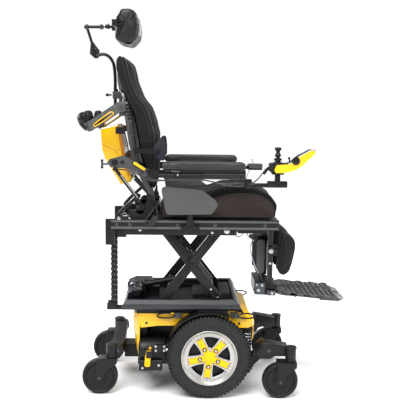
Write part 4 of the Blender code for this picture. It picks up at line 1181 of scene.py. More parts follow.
def make_headrest():
    """The puckered headrest pad, with its bracket, knob and the joints of its link."""
    outline = rounded([(-0.41, 1.514, 0.012), (-0.398, 1.502, 0.012), (-0.342, 1.487, 0.02),
                       (-0.313, 1.522, 0.03), (-0.309, 1.566, 0.03), (-0.322, 1.626, 0.02),
                       (-0.347, 1.643, 0.012), (-0.386, 1.641, 0.012), (-0.408, 1.604, 0.02)], 4)

    def cupped(x, y, z):
        hollow = 0.018 * max(0.0, 1 - (y / 0.09) ** 2) if x > -0.35 else 0.0
        wing = 0.01 * (abs(y) / 0.125) ** 2
        return x - hollow - 0.002 + wing * 0.3, z

    obj = soft_object("headrest_cushion", [pillow(outline, 0.122, shape=cupped, edge=0.02)], 0.005,
                      0.007, lambda n: 0.5 if n.x < -0.7 else 1.0, "headrest_pad", 0.002, 6)
    for vertex in obj.data.vertices:
        x, y, z = vertex.co - TO_ROW.translation
        pucker = math.exp(-((x + 0.365) ** 2 + (z - 1.575) ** 2) / 0.0009) * (abs(y) > 0.095)
        folds = math.sin(38 * math.atan2(z - 1.575, x + 0.365) / math.pi)
        vertex.co -= vertex.normal * pucker * (0.0035 + 0.0016 * folds)
    finish_soft(obj, "headrest", [VINYL], ["headrest_pad"])
    tree = surface_of(obj)
    for side_name, side in SIDES:
        curve = [(-0.336, 0, 1.636), (-0.324, 0, 1.6), (-0.32, 0, 1.56), (-0.326, 0, 1.53),
                 (-0.345, 0, 1.507), (-0.375, 0, 1.503), (-0.402, 0, 1.512)]
        seam(f"headrest_seam_{side_name}", "headrest", tree, [curve], (0, -side, 0), 0.0018, VINYL)
    shapes = []
    loop = (((-0.404, -0.372), (1.584, 1.588)), ((-0.404, -0.372), (1.57, 1.574)),
            ((-0.375, -0.371), (1.57, 1.588)))
    for side in (-1, 1):
        shapes += [box(x, (side * 0.1245, side * 0.1275), z) for x, z in loop]
        shapes.append(box((-0.42, -0.4), (side * 0.118, side * 0.1275), (1.566, 1.592)))
    shapes.append(box((-0.42, -0.411), (-0.127, 0.127), (1.567, 1.591)))
    shapes += [disc((-0.426, 1.574), 0.01, -0.018, 0.018, steps=28, round_by=0.002),
               rod((-0.466, 0, 1.5735), (-0.414, 0, 1.5745), 0.0062, 16),
               box((-0.434, -0.418), (-0.014, 0.014), (1.558, 1.606))]
    piece("headrest_bracket", "headrest", shapes, SATIN_BLACK, 0.0008)
    knob_x, knob_z, reach, lobes = -0.45, 1.574, 0.0085, 5
    knob = [disc((knob_x, knob_z), reach, -0.018, -0.008, steps=24, round_by=0.002)]
    for i in range(lobes):
        t = 2 * math.pi * i / lobes
        knob.append(disc((knob_x + reach * math.cos(t), knob_z + reach * math.sin(t)), 0.0038, -0.0175,
                         -0.0085, steps=16, round_by=0.0012))
    piece("headrest_knob", "headrest", knob, PLASTIC_BLACK, 0.0004)
    joints = []
    for x, z in ((-0.544, 1.572), (-0.48, 1.573)):
        joints += [disc((x, z), 0.0112, -0.0085, 0.0085, steps=32, round_by=0.0025)]
        joints += bolt((x, -0.0085, z), (0, -1, 0), 0.0042, 0.0026)
    for x, z in ((-0.512, 1.496), (-0.522, 1.466), (-0.498, 1.464), (-0.508, 1.48)):
        joints += bolt((x, 0.0076, z), (0, -1, 0), 0.0026, 0.0016)
    piece("headrest_joints", "headrest_link", joints, DARK_STEEL, 0.0004)


def make_lateral(side_name, side):
    """A trunk support: a thin pad on a swing-away arm."""
    outline = rounded([(-0.216, 1.0985, 0.01), (-0.199, 1.1, 0.008), (-0.194, 1.056, 0.02),
                       (-0.1935, 1.011, 0.01), (-0.202, 1.004, 0.008), (-0.226, 1.01, 0.014),
                       (-0.248, 1.028, 0.01), (-0.24, 1.067, 0.02)], 4)
    shape = pillow(outline, 0.0125, side * 0.201, edge=0.006)
    obj = soft_object(f"lateral_pad_{side_name}", [shape], 0.004, 0.006, smooth=3)
    for vertex in obj.data.vertices:
        vertex.co.y = side * min(max(side * vertex.co.y, 0.187), 0.2145)
    finish_soft(obj, f"lateral_{side_name}", [FABRIC_PURPLE], [f"lateral_support_{side_name}"])
    tree = surface_of(obj)
    line = [(-0.21, 0, 1.096), (-0.206, 0, 1.07), (-0.205, 0, 1.045), (-0.208, 0, 1.022)]
    seam(f"lateral_seam_{side_name}", f"lateral_{side_name}", tree, [line], (0, -side, 0), 0.0012,
         PIPING)
    arm = [rounded_box((-0.314, -0.216), (0.216, 0.2195), (1.036, 1.054), 0.003, "Y"),
           disc((-0.322, 0.2211), 0.0058, 1.032, 1.058, "Z", 24, 0.001), rounded_box((-0.326, -0.308),
                                                                                     (0.216, 0.2262),
                                                                                     (1.0345, 1.0555),
                                                                                     0.004, "Y"),
           rod((-0.237, 0.2185, 1.036), (-0.237, 0.2185, 0.976), 0.0032, 12)]
    for x in (-0.24, -0.224):
        arm += bolt((x, 0.2195, 1.045), (0, 1, 0), 0.004, 0.0028)
    piece(f"lateral_arm_{side_name}", f"lateral_{side_name}", on_side(arm, side), SATIN_BLACK, 0.0006)


def make_armrest_pad(side_name, side):
    """A long vinyl armrest pad with a seam on each flank."""
    low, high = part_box(f"armrest_pad_{side_name}")
    middle = (low.y + high.y) / 2
    outline = rounded([(-0.209, 0.976, 0.008), (-0.209, 1.002, 0.012), (-0.12, 1.005, 0.02),
                       (0.142, 1.005, 0.014), (0.142, 0.976, 0.01)], 4)
    obj = soft_object(f"arm_pad_{side_name}", [pillow(outline, 0.0335, middle, edge=0.007)], 0.0045,
                      0.005, lambda n: 0.1 if n.z < -0.5 else 1.0, f"armrest_pad_{side_name}", 0.0, 4)
    finish_soft(obj, f"armrest_{side_name}", [ARM_VINYL], [f"armrest_pad_{side_name}"])
    tree = surface_of(obj)
    line = [(x, 0, 0.9835) for x in (-0.198, -0.12, -0.04, 0.04, 0.12, 0.136)]
    for face, turn in (("outer", -1), ("inner", 1)):
        seam(f"arm_pad_{face}_seam_{side_name}", f"armrest_{side_name}", tree, [line],
             (0, side * turn, 0), 0.001, VINYL)


def make_calf_pads():
    """Two calf pads on one bar."""
    outline = rounded([(0.313, 0.704, 0.008), (0.34, 0.686, 0.02), (0.368, 0.67, 0.022),
                       (0.374, 0.638, 0.03), (0.35, 0.524, 0.022), (0.327, 0.506, 0.012),
                       (0.301, 0.514, 0.012), (0.302, 0.62, 0.03)], 4)
    for side_name, side in SIDES:
        shape = pillow(outline, 0.057, side * 0.105, edge=0.014)
        obj = soft_object(f"calf_pad_{side_name}", [shape], 0.005, 0.006, lambda n: 0.3 if n.x < -0.6
                          else 1.0, "calf_pads", 0.002, 5)
        finish_soft(obj, "calf_pads", [FABRIC_BACK], ["calf_pads"])
        tree = surface_of(obj)
        line = [(0.317, 0, 0.688), (0.33, 0, 0.65), (0.333, 0, 0.6), (0.324, 0, 0.53)]
        for face, turn in (("outer", -1), ("inner", 1)):
            seam(f"calf_{face}_seam_{side_name}", "calf_pads", tree, [line], (0, side * turn, 0),
                 0.0012, PIPING)
    hardware = [rounded_box((0.282, 0.299), (-0.148, 0.148), (0.603, 0.621), 0.003, "Y")]
    for side in (-1, 1):
        hardware.append(rounded_box((0.283, 0.306), (side * 0.095, side * 0.135), (0.59, 0.634), 0.005,
                                    "Y"))
        for z, radius, height in ((0.612, 0.006, 0.004), (0.598, 0.003, 0.002)):
            hardware += bolt((0.294, side * 0.135, z), (0, side, 0), radius, height)
    piece("calf_pad_bar", "calf_pads", hardware, SATIN_BLACK, 0.0008)


# Lift, chain and seat ------------------------------------------------------------------------

SCISSOR_MIDDLE = (-0.08, 0.5562)
SCISSOR_HALF = 0.19
SCISSOR_TURN = math.radians(52)


def scissor_end(along, rise):
    """One end of a scissor arm; along and rise are -1 or 1."""
    x, z = SCISSOR_MIDDLE
    return (x + along * SCISSOR_HALF * math.cos(SCISSOR_TURN), z + rise * SCISSOR_HALF
            * math.sin(SCISSOR_TURN))


def pin_head(x, z, side, at, radius, height=0.004):
    """A round pin with a rounded rim."""
    return [disc((x, z), radius, *span(side, at - 0.001, at + height), steps=28, round_by=0.0008)]


def make_scissor_details():
    """Pins of the scissor arms, and the bolts of the platform above them."""
    outer, inner, fixed = [], [], []
    for side in (-1, 1):
        x, z = SCISSOR_MIDDLE
        outer += pin_head(x, z, side, 0.172, 0.0062, 0.0028)
        for along in (-1, 1):
            ex, ez = scissor_end(along, along)
            outer += pin_head(ex, ez, side, 0.172, 0.006, 0.0028)
            ex, ez = scissor_end(along, -along)
            inner += pin_head(ex, ez, side, 0.158, 0.006, 0.0028)
        inner += pin_head(0.008, 0.4436, side, 0.158, 0.0055, 0.0028)
    piece("scissor_outer_pins", "lift_arm_outer", outer, STEEL, 0.0004)
    piece("scissor_inner_pins", "lift_arm_inner", inner, STEEL, 0.0004)
    for side in (-1, 1):
        half_disc = [(-0.004, 0.705), (0.022, 0.705)]
        half_disc += [(0.009 + 0.016 * math.cos(math.radians(a)), 0.703 - 0.018
                       * math.sin(math.radians(a))) for a in range(20, 161, 14)]
        fixed.append(prism(half_disc, *span(side, 0.1745, 0.179)))
        for x, z, radius, height in ((0.009, 0.698, 0.006, 0.003), (0.072, 0.705, 0.012, 0.005),
                                     (-0.3, 0.708, 0.007, 0.0035)):
            fixed += pin_head(x, z, side, 0.179, radius, height)
    piece("platform_bolts", "platform", fixed, STEEL, 0.0004)


CHAIN_LINKS = 7


def make_chains():
    """The cable chain's two halves, each a row of waisted links with pins and openings."""
    for name in ("lower", "upper"):
        node_name = f"cable_chain_{name}"
        low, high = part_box(node_name)
        pitch = (high.z - low.z - 0.001) / CHAIN_LINKS
        x0, x1 = low.x - AXLE_X + 0.0005, high.x - AXLE_X - 0.0005
        shapes, dark = [], []
        for i in range(CHAIN_LINKS):
            z0, z1 = low.z + i * pitch, low.z + (i + 1) * pitch
            shapes.append(rounded_box((x0 + 0.002, x1 - 0.002), (-0.186, -0.154),
                                      (z0 + 0.0012, z1 - 0.0004), 0.003, "Y"))
            for y0, y1 in ((-0.1902, -0.187), (-0.153, -0.15)):
                outline = [(x0, z0 + 0.004), (x0, z1 - 0.005), (x0 + 0.006, z1), (x1 - 0.003, z1),
                           (x1, z1 - 0.005), (x1, z0 + 0.003), (x1 - 0.006, z0), (x0 + 0.004, z0)]
                shapes.append(prism(outline, y0, y1))
            shapes.append(box((x0 - 0.0006, x0 + 0.004), (-0.184, -0.156), (z0 + 0.006, z1 - 0.006)))
            shapes.append(box((x1 - 0.004, x1 + 0.0004), (-0.184, -0.156), (z0 + 0.006, z1 - 0.006)))
            middle = (z0 + z1) / 2
            for offset, radius, steps in ((0.003, 0.0052, 18), (-0.007, 0.0028, 14)):
                dark.append(disc(((x0 + x1) / 2 + offset, middle), radius, -0.1912, -0.19, steps=steps,
                                 round_by=0.0004))
        piece(f"chain_links_{name}", f"chain_{name}", shapes, CHAIN, 0.0006, [node_name])
        piece(f"chain_holes_{name}", f"chain_{name}", dark, DARK_STEEL, 0)


RAIL_SPAN = (-0.4195, 0.2865)


def make_rails():
    """Highlight-painted ridges, slots, bolts and end caps of the seat rails, and the brackets and loops
    below them.
    """
    ridges, slots, caps = [], [], []
    for side in (-1, 1):
        face = span(side, 0.2349, 0.2358)
        ridges.append(box(RAIL_SPAN, face, (0.7475, 0.756)))
        ridges.append(box(RAIL_SPAN, face, (0.7195, 0.729)))
        slots.append(box(RAIL_SPAN, span(side, 0.2348, 0.2352), (0.731, 0.7455)))
        for x in (-0.395, -0.34, -0.14, 0.018, 0.23):
            caps += bolt((x, side * 0.235, 0.7382), (0, side, 0), 0.0055, 0.0022)
        for x in (0.2875, -0.42):
            ends = (x, x + math.copysign(0.0022, x))
            caps.append(rounded_box(ends, span(side, 0.2155, 0.2345), (0.7165, 0.7595), 0.002, "X"))
    # The ridges are painted lighter than the rail as a highlight.
    piece("rail_ridge_highlights", "seat", ridges, RAIL_RIDGE_HIGHLIGHT, 0.0004)
    piece("rail_slots", "seat", slots, SATIN_BLACK, 0)
    piece("rail_bolts", "seat", caps, DARK_STEEL, 0.0003)
    hooks = []
    for side in (-1, 1):
        for x in (0.135, 0.185):
            loop = [(x, side * 0.205, 0.715), (x + 0.003, side * 0.205, 0.7),
                    (x - 0.006, side * 0.205, 0.688), (x - 0.02, side * 0.205, 0.686),
                    (x - 0.028, side * 0.205, 0.696), (x - 0.026, side * 0.205, 0.715)]
            hooks.append(pipe(loop, 0.002, 10))
    piece("tie_down_loops", "seat", hooks, DARK_STEEL, 0)
    under = []
    for side in (-1, 1):
        under += [rounded_box((-0.19, -0.11), span(side, 0.15, 0.208), (0.7345, 0.7535), 0.003),
                  rounded_box((0.035, 0.095), span(side, 0.16, 0.208), (0.734, 0.7535), 0.003),
                  rounded_box((0.115, 0.235), span(side, 0.178, 0.212), (0.7, 0.7535), 0.006)]
    piece("under_seat_brackets", "seat", under, POWDER_BLACK, 0.001)


def make_belt():
    """The lap belt's loop and buckle, hanging at each rear corner of the seat."""
    ring = [(-0.238, -0.239, 0.812), (-0.246, -0.24, 0.796), (-0.264, -0.241, 0.772),
            (-0.272, -0.242, 0.75), (-0.26, -0.243, 0.734), (-0.244, -0.244, 0.74),
            (-0.226, -0.244, 0.762), (-0.224, -0.243, 0.786), (-0.229, -0.24, 0.808)]
    route = smooth_route([Vector(p) for p in ring], 6)
    section = [(b * 0.0016, a * 0.011) for a, b in ((-1, -0.4), (-0.9, -1), (0.9, -1), (1, -0.4),
                                                    (1, 0.4), (0.9, 1), (-0.9, 1), (-1, 0.4))]
    for side_name, side in SIDES:
        belt = [sweep([Vector((p.x, side * -p.y, p.z)) for p in route], section, (0, 1, 0.01))]
        piece(f"belt_loop_{side_name}", "seat", belt, WEBBING, 0.0003)
        buckle = rounded([(-0.262, 0.742, 0.003), (-0.244, 0.733, 0.003), (-0.223, 0.77, 0.003),
                          (-0.241, 0.78, 0.003)])
        shapes = [prism(buckle, *span(side, 0.2445, 0.2535))]
        for i in range(6):
            t = 0.14 + 0.145 * i
            start = Vector((-0.262 + 0.021 * t, side * 0.254, 0.742 + 0.038 * t))
            shapes.append(rod(start + Vector((0.0015, 0, -0.0008)), start
                              + Vector((0.0165, 0, -0.0082)), 0.0012, 8))
        piece(f"belt_buckle_{side_name}", "seat", shapes, WEBBING, 0.0006)


def make_hip_guards():
    """Dished side guards, each on a stalk clamped to its rail."""
    outline = rounded([(-0.211, 0.904, 0.02), (-0.039, 0.889, 0.02), (0.02, 0.845, 0.02),
                       (0.029, 0.823, 0.01), (0.004, 0.787, 0.02), (-0.188, 0.783, 0.02)], 6)
    for side_name, side in SIDES:
        rings = []
        for y, inset in ((0.256, 0.003), (0.2565, 0.0008), (0.258, 0.0), (0.2605, 0.0),
                         (0.2616, 0.0008), (0.262, 0.0026), (0.2617, 0.004), (0.2614, 0.007)):
            rings.append([(x, y, z) for x, z in shrunk(outline, inset)])
        piece(f"guard_panel_{side_name}", "seat", on_side([stack(rings)], side), GUARD_GREY, 0.0004,
              [f"hip_guard_{side_name}"])
        rim = [pipe([(x, 0.2619, z) for x, z in shrunk(outline, 0.002)], 0.0009, 8, 1, closed=True)]
        piece(f"guard_rim_{side_name}", "seat", on_side(rim, side), PLASTIC_GREY, 0)
        knob = [disc((-0.087, 0.728), 0.0075, 0.2565, 0.2665, steps=24, round_by=0.002),
                rounded_box((-0.125, -0.048), (0.2356, 0.2565), (0.722, 0.736), 0.002),
                rounded_box((-0.104, -0.07), (0.238, 0.2575), (0.716, 0.752), 0.003),
                rounded_box((-0.098, -0.076), (0.242, 0.2565), (0.73, 0.8), 0.002)]
        for x in (-0.12, -0.054):
            knob += bolt((x, 0.2565, 0.729), (0, 1, 0), 0.0035, 0.0025)
        piece(f"guard_knob_{side_name}", "seat", on_side(knob, side), SATIN_BLACK, 0.0004)


# Backrest ------------------------------------------------------------------------------------

SHELL_PROFILE = [(-0.388, -0.374, 1.3), (-0.374, -0.356, 1.253), (-0.348, -0.326, 1.19),
                 (-0.336, -0.311, 1.12), (-0.322, -0.296, 1.03), (-0.3, -0.275, 0.964),
                 (-0.27, -0.25, 0.904), (-0.262, -0.24, 0.868)]


def shell_at(z):
    """Rear and front X of the back shell at a height."""
    for (r0, f0, z0), (r1, f1, z1) in zip(SHELL_PROFILE, SHELL_PROFILE[1:]):
        if z >= z1:
            t = min(1.0, max(0.0, (z0 - z) / (z0 - z1)))
            return r0 + (r1 - r0) * t, f0 + (f1 - f0) * t
    return SHELL_PROFILE[-1][:2]


def make_back_shell():
    """The glossy shell behind the cushion, with trimmed edges."""
    rings = []
    half, corner, count = 0.1885, 0.05, 25
    for i in range(count):
        y = -half + 2 * half * i / (count - 1)
        past = max(0.0, (abs(y) - (half - corner)) / corner)
        trim = corner * (1 - math.sqrt(max(0.0, 1 - min(1.0, past) ** 2))) * 0.9
        low, high = 0.868 + trim, 1.3 - trim
        levels = [high - (high - low) * k / 22 for k in range(23)]
        curl = 0.004 * past ** 2
        rear = [(shell_at(z)[0] + curl, y, z) for z in levels]
        front = [(shell_at(z)[1] - 0.002, y, z) for z in levels]
        rings.append(rear + front[::-1])
    piece("gloss_back_shell", "back", [stack(rings)], GLOSS_SHELL, 0.001, ["back_shell"])
    trims = []
    for side in (-1, 1):
        edge = [(shell_at(z)[0] + 0.01, side * half, z)
                for z in [1.255 - 0.365 * k / 14 for k in range(15)]]
        trims.append(pipe(edge, 0.0026, 10, 2))
    piece("shell_edge_trim", "back", trims, SATIN_BLACK, 0)


def make_back_cover():
    """The crowned yellow cover behind the back, with its top band, and painted shade on its creases and
    side edges.
    """
    outline = rounded([(-0.472, 1.137, 0.004), (-0.399, 1.1545, 0.003), (-0.389, 1.121, 0.01),
                       (-0.375, 1.06, 0.02), (-0.366, 0.99, 0.01), (-0.338, 0.925, 0.004),
                       (-0.345, 0.906, 0.004), (-0.386, 0.896, 0.006), (-0.452, 1.002, 0.01),
                       (-0.467, 1.046, 0.008)], 4)
    rings = []
    edge = ((0.1296, 0.006), (0.128, 0.0025), (0.124, 0.0006), (0.119, 0.0))
    for y, inset in edge:
        rings.append([(x, -y, z) for x, z in shrunk(outline, inset)])
    for k in range(-9, 10):
        crown = 0.004 * (1 - (k / 10) ** 2)
        rings.append([(x - crown * (x < -0.4), 0.119 * k / 10, z) for x, z in outline])
    for y, inset in edge[::-1]:
        rings.append([(x, y, z) for x, z in shrunk(outline, inset)])
    piece("back_cover_shell", "back", [stack(rings)], YELLOW, 0.0006, ["back_cover"])
    bands = []
    for side in (-1, 1):
        bands.append(rod((-0.47, side * 0.129, 1.133), (-0.401, side * 0.129, 1.15), 0.0017, 8))
    bands.append(rod((-0.4735, -0.127, 1.1325), (-0.4735, 0.127, 1.1325), 0.0017, 8))
    piece("back_cover_band", "back", bands, STEEL, 0)
    # Darker orange rods along the cover's creases: painted shade.
    crease_shade = []
    fork = (-0.412, 1.042)
    for side in (-1, 1):
        for a, b in (((-0.4655, 1.068), fork), (fork, (-0.377, 1.05)), (fork, (-0.348, 0.93))):
            crease_shade.append(rod((a[0], side * 0.1296, a[1]), (b[0], side * 0.1296, b[1]), 0.0009, 8))
    piece("back_cover_crease_shade", "back", crease_shade, PAINTED_SHADE_ORANGE, 0)
    # Darker orange strips along both side edges of the cover: painted shade.
    panels = []
    for side in (-1, 1):
        edge_shade_strip = [(-0.401, 1.148), (-0.394, 1.15), (-0.386, 1.118), (-0.372, 1.058), (-0.364, 0.991),
                 (-0.343, 0.933), (-0.352, 0.93), (-0.376, 0.99), (-0.388, 1.06), (-0.398, 1.118)]
        panels.append(prism(edge_shade_strip, *span(side, 0.129, 0.1302)))
    piece("back_cover_painted_shade", "back", panels, PAINTED_SHADE_ORANGE, 0.0003)


def make_canes():
    """Grooves, screws, slots and lower plates of the two back canes."""
    grooves, screws, black = [], [], []
    line = [(-0.34, 1.165), (-0.332, 1.12), (-0.322, 1.06), (-0.306, 0.99)]
    for side in (-1, 1):
        for by in (-0.0035, 0.0035):
            route = [(x + by, side * 0.2142, z) for x, z in line]
            grooves.append(pipe(route, 0.0013, 8, 4))
        for x, z in ((-0.335, 1.128), (-0.333, 1.11), (-0.318, 1.03), (-0.253, 0.832)):
            screws += bolt((x + 0.004, side * 0.214, z), (0, side, 0), 0.0036, 0.0018)
        for x, z in ((-0.354, 1.236), (-0.3515, 1.222), (-0.349, 1.208), (-0.3465, 1.194),
                     (-0.344, 1.18)):
            black.append(rounded_box((x - 0.006, x + 0.01), span(side, 0.2138, 0.2152),
                                     (z - 0.0045, z + 0.0045), 0.001))
        black.append(rounded_box((-0.401, -0.364), span(side, 0.196, 0.212), (1.116, 1.144), 0.003))
        upper = rounded([(-0.33, 0.93, 0.004), (-0.3, 0.93, 0.004), (-0.262, 0.866, 0.01),
                         (-0.24, 0.858, 0.01), (-0.242, 0.8, 0.01), (-0.268, 0.8, 0.01),
                         (-0.272, 0.868, 0.01)])
        black.append(prism(upper, *span(side, 0.2138, 0.215)))
    piece("cane_grooves", "back", grooves, SATIN_BLACK, 0)
    piece("cane_screws", "back", screws, DARK_STEEL, 0.0003)
    piece("cane_slots", "back", black, SATIN_BLACK, 0.0005)


def make_back_brackets():
    """Ridges, yellow inlays and bolts of the cast brackets that carry the armrests."""
    face = 0.252
    for side_name, side in SIDES:
        ridge = [pipe([(-0.423, face, 1.0115), (-0.396, face, 1.019), (-0.364, face, 1.026),
                       (-0.341, face, 1.015), (-0.299, face, 0.991), (-0.259, face, 0.966)], 0.0013, 8,
                      4), pipe([(-0.417, face, 0.981), (-0.382, face, 0.977), (-0.35, face, 0.98),
                                (-0.316, face, 0.961), (-0.284, face, 0.943)], 0.0011, 8, 4)]
        piece(f"bracket_ridge_{side_name}", "back", on_side(ridge, side), PLASTIC_GREY, 0)
        frame = rounded([(-0.331, 1.002, 0.004), (-0.318, 1.006, 0.004), (-0.27, 0.976, 0.004),
                         (-0.268, 0.966, 0.004), (-0.279, 0.96, 0.004), (-0.329, 0.99, 0.004)])
        inlay = rounded([(-0.326, 1.0, 0.004), (-0.316, 1.003, 0.004), (-0.275, 0.976, 0.004),
                         (-0.273, 0.969, 0.003), (-0.28, 0.966, 0.004), (-0.324, 0.993, 0.004)])
        piece(f"bracket_frame_{side_name}", "back", on_side([prism(frame, 0.2518, 0.2528)], side),
              SATIN_BLACK, 0.0004)
        piece(f"bracket_inlay_{side_name}", "back", on_side([prism(inlay, 0.2524, 0.2536)], side),
              YELLOW, 0.0005)
        shapes = [disc((-0.402, 0.999), 0.0135, 0.2515, 0.2555, steps=40, round_by=0.0012),
                  disc((-0.402, 0.999), 0.0085, 0.255, 0.259, steps=6, round_by=0.0012),
                  disc((-0.37, 1.001), 0.0075, 0.2515, 0.2545, steps=30, round_by=0.001),
                  disc((-0.37, 1.001), 0.0042, 0.254, 0.256, steps=6, round_by=0.0008)]
        shapes += bolt((-0.27, face, 0.951), (0, 1, 0), 0.0045, 0.003)
        for z in (0.979, 1.005):
            shapes.append(disc((0.244, z), 0.0062, -0.459, -0.449, "X", 20, 0.0015))
        piece(f"bracket_bolts_{side_name}", "back", on_side(shapes, side), SATIN_BLACK, 0.0005)


def make_recline_struts():
    """The strut on each side of the back, with its bright rod."""
    for side_name, side in SIDES:
        high, low = Vector((-0.4, 0.246, 0.972)), Vector((-0.306, 0.246, 0.848))
        along = (low - high).normalized()
        shapes = [rod(high, low, 0.0075, 18), disc((-0.4, 0.972), 0.01, 0.238, 0.254, steps=24,
                                                   round_by=0.002),
                  rod(low, low + along * 0.016, 0.0055, 14)]
        piece(f"recline_strut_{side_name}", "back", on_side(shapes, side), SATIN_BLACK, 0)
        line = [rod(high + along * 0.035 + Vector((0.003, 0.007, 0.003)), low - along * 0.004
                    + Vector((0.003, 0.007, 0.003)), 0.0022, 10)]
        piece(f"recline_rod_{side_name}", "back", on_side(line, side), STEEL, 0)


def make_rear_frame():
    """Bent tubes that rise from the rail ends, and the recline motor between the rails."""
    tubes = []
    for side in (-1, 1):
        route = [(-0.396, side * 0.225, 0.762), (-0.386, side * 0.225, 0.782),
                 (-0.356, side * 0.225, 0.813), (-0.326, side * 0.225, 0.84),
                 (-0.308, side * 0.225, 0.856)]
        tubes.append(pipe(route, 0.0078, 16))
        tubes.append(disc((-0.306, 0.858), 0.011, *span(side, 0.218, 0.233), steps=24, round_by=0.002))
        tubes.append(rounded_box((-0.385, -0.345), span(side, 0.216, 0.234), (0.76, 0.772), 0.003))
    piece("rear_seat_tubes", "seat", tubes, SATIN_BLACK, 0)
    motor = []
    for side in (-1, 1):
        width = span(side, 0.186, 0.212)
        motor += [rounded_box((-0.345, -0.25), width, (0.762, 0.796), 0.006), disc((-0.298, 0.796),
                                                                                   0.02, *width,
                                                                                   steps=32,
                                                                                   round_by=0.003)]
    motor.append(rounded_box((-0.256, -0.228), (-0.184, 0.184), (0.77, 0.796), 0.006))
    piece("recline_motor", "seat", motor, POWDER_BLACK, 0.0012)
    bright = bolt((-0.386, -0.235, 0.764), (0, -1, 0), 0.005, 0.003)
    bright += [rod((-0.395, -0.215, 0.774), (-0.36, -0.215, 0.784), 0.003, 10),
               rod((-0.36, -0.215, 0.784), (-0.345, -0.215, 0.77), 0.003, 10)]
    piece("rear_seat_fittings", "seat", bright, STEEL, 0)


HANDLE_PIVOT = (-0.375, 1.226)
HANDLE_FACE = 0.233


def make_push_handle_details():
    """The push handle's yellow edging, ridges, bolts and grip, and the knob of the post clamp."""
    slot = [(-0.49, 1.154), (-0.482, 1.147), (-0.414, 1.193), (-0.41, 1.206), (-0.422, 1.206)]
    middle_x = sum(p[0] for p in slot) / len(slot)
    middle_z = sum(p[1] for p in slot) / len(slot)
    edging, ridges = [], []
    for side in (-1, 1):
        for y in (0.215, 0.2332):
            edging.append(pipe([(x + 0.0008 * math.copysign(1, middle_x - x), side * y, z + 0.0004
                                 * math.copysign(1, middle_z - z)) for x, z in slot], 0.0019, 8, 3,
                               closed=True))
        outer = [(-0.52, 1.156), (-0.464, 1.196), (-0.408, 1.231), (-0.386, 1.243)]
        ridges.append(pipe([(x, side * HANDLE_FACE, z) for x, z in outer], 0.001, 8, 4))
        for (x, z), radius, height in ((HANDLE_PIVOT, 0.0105, 0.0035), ((-0.513, 1.14), 0.006, 0.003)):
            ridges += bolt((x, side * HANDLE_FACE, z), (0, side, 0), radius, height)
    piece("handle_slot_edging", "push_handle", edging, YELLOW_PLASTIC, 0)
    piece("handle_ridges", "push_handle", ridges, PLASTIC_GREY, 0.0003)
    grip = smooth_route([Vector(p) for p in ((-0.538, -0.202, 1.158), (-0.552, -0.15, 1.182),
                                             (-0.555, 0, 1.19), (-0.552, 0.15, 1.182),
                                             (-0.538, 0.202, 1.158))], 8)
    shapes = [sweep(grip, circle(0.015, 18), (0.01, 0.02, 1))]
    for i in range(2, len(grip) - 2):
        a = grip[i]
        b = a + (grip[i + 1] - a).normalized() * 0.0035
        shapes.append(rod(a, b, 0.0158, 18))
    for side in (-1, 1):
        shapes.append(lathe([(0.001, 1.13), (0.013, 1.133), (0.019, 1.145), (0.0205, 1.175),
                             (0.02, 1.195), (0.015, 1.208), (0.001, 1.212)], (-0.516, side * 0.196),
                            "Z", 24))
        elbow = [(-0.515, side * 0.224, 1.14), (-0.528, side * 0.218, 1.15),
                 (-0.539, side * 0.202, 1.16)]
        shapes.append(pipe(elbow, 0.016, 16, 5))
    piece("handle_grip", "push_handle", shapes, PLASTIC_BLACK, 0)
    knob = [disc((-0.411, 0.0), 0.004, 1.294, 1.306, "Z", 14),
            rod((-0.435, 0, 1.28), (-0.452, 0, 1.28), 0.0035, 12), rounded_box((-0.46, -0.45),
                                                                               (-0.016, 0.016),
                                                                               (1.274, 1.286), 0.003,
                                                                               "X")]
    piece("post_clamp_knob", "back", knob, PLASTIC_BLACK, 0.0008)


# Armrests and controls -----------------------------------------------------------------------

def make_armrest_details():
    """Ridges and caps of the armrest beams, the side tubes with their springs, and the hinges."""
    y = 0.2875
    for side_name, side in SIDES:
        body = f"armrest_{side_name}"
        ridges = [box((-0.194, 0.134), (y - 0.0006, y + 0.001), z)
                  for z in ((0.97, 0.9725), (0.956, 0.958), (0.937, 0.9395))]
        piece(f"beam_ridges_{side_name}", body, on_side(ridges, side), PLASTIC_GREY, 0.0003)
        caps = [rounded_box(x, (0.253, 0.287), (0.9365, 0.9735), 0.003, "X")
                for x in ((0.1362, 0.14), (-0.199, -0.196))]
        caps += bolt((0.035, y, 0.964), (0, 1, 0), 0.0035, 0.0022)
        caps += bolt((0.12, y, 0.946), (0, 1, 0), 0.003, 0.002)
        piece(f"beam_caps_{side_name}", body, on_side(caps, side), SATIN_BLACK, 0.0006)
        tube = [rod((-0.236, 0.296, 0.953), (-0.04, 0.296, 0.953), 0.0058, 18),
                rod((-0.04, 0.296, 0.953), (-0.036, 0.296, 0.953), 0.0046, 18),
                rounded_box((-0.154, -0.126), (0.286, 0.304), (0.943, 0.965), 0.004, "Y"),
                rounded_box((-0.236, -0.218), (0.26, 0.304), (0.94, 0.966), 0.004, "Y")]
        piece(f"side_tube_{side_name}", body, on_side(tube, side), SATIN_BLACK, 0.0006)
        bright = []
        for i in range(5):
            x = -0.164 + 0.0068 * i
            bright.append(rod((x, 0.29, 0.969), (x + 0.0024, 0.301, 0.969), 0.002, 8))
        bright += bolt((-0.14, 0.304, 0.954), (0, 1, 0), 0.003, 0.0018)
        piece(f"side_tube_spring_{side_name}", body, on_side(bright, side), STEEL, 0)
        hinge = [disc((-0.275, 0.955), 0.0125, 0.262, 0.268, steps=30, round_by=0.0015)]
        hinge += bolt((-0.275, 0.268, 0.955), (0, 1, 0), 0.006, 0.003)
        piece(f"armrest_hinge_{side_name}", body, on_side(hinge, side), DARK_STEEL, 0.0004)


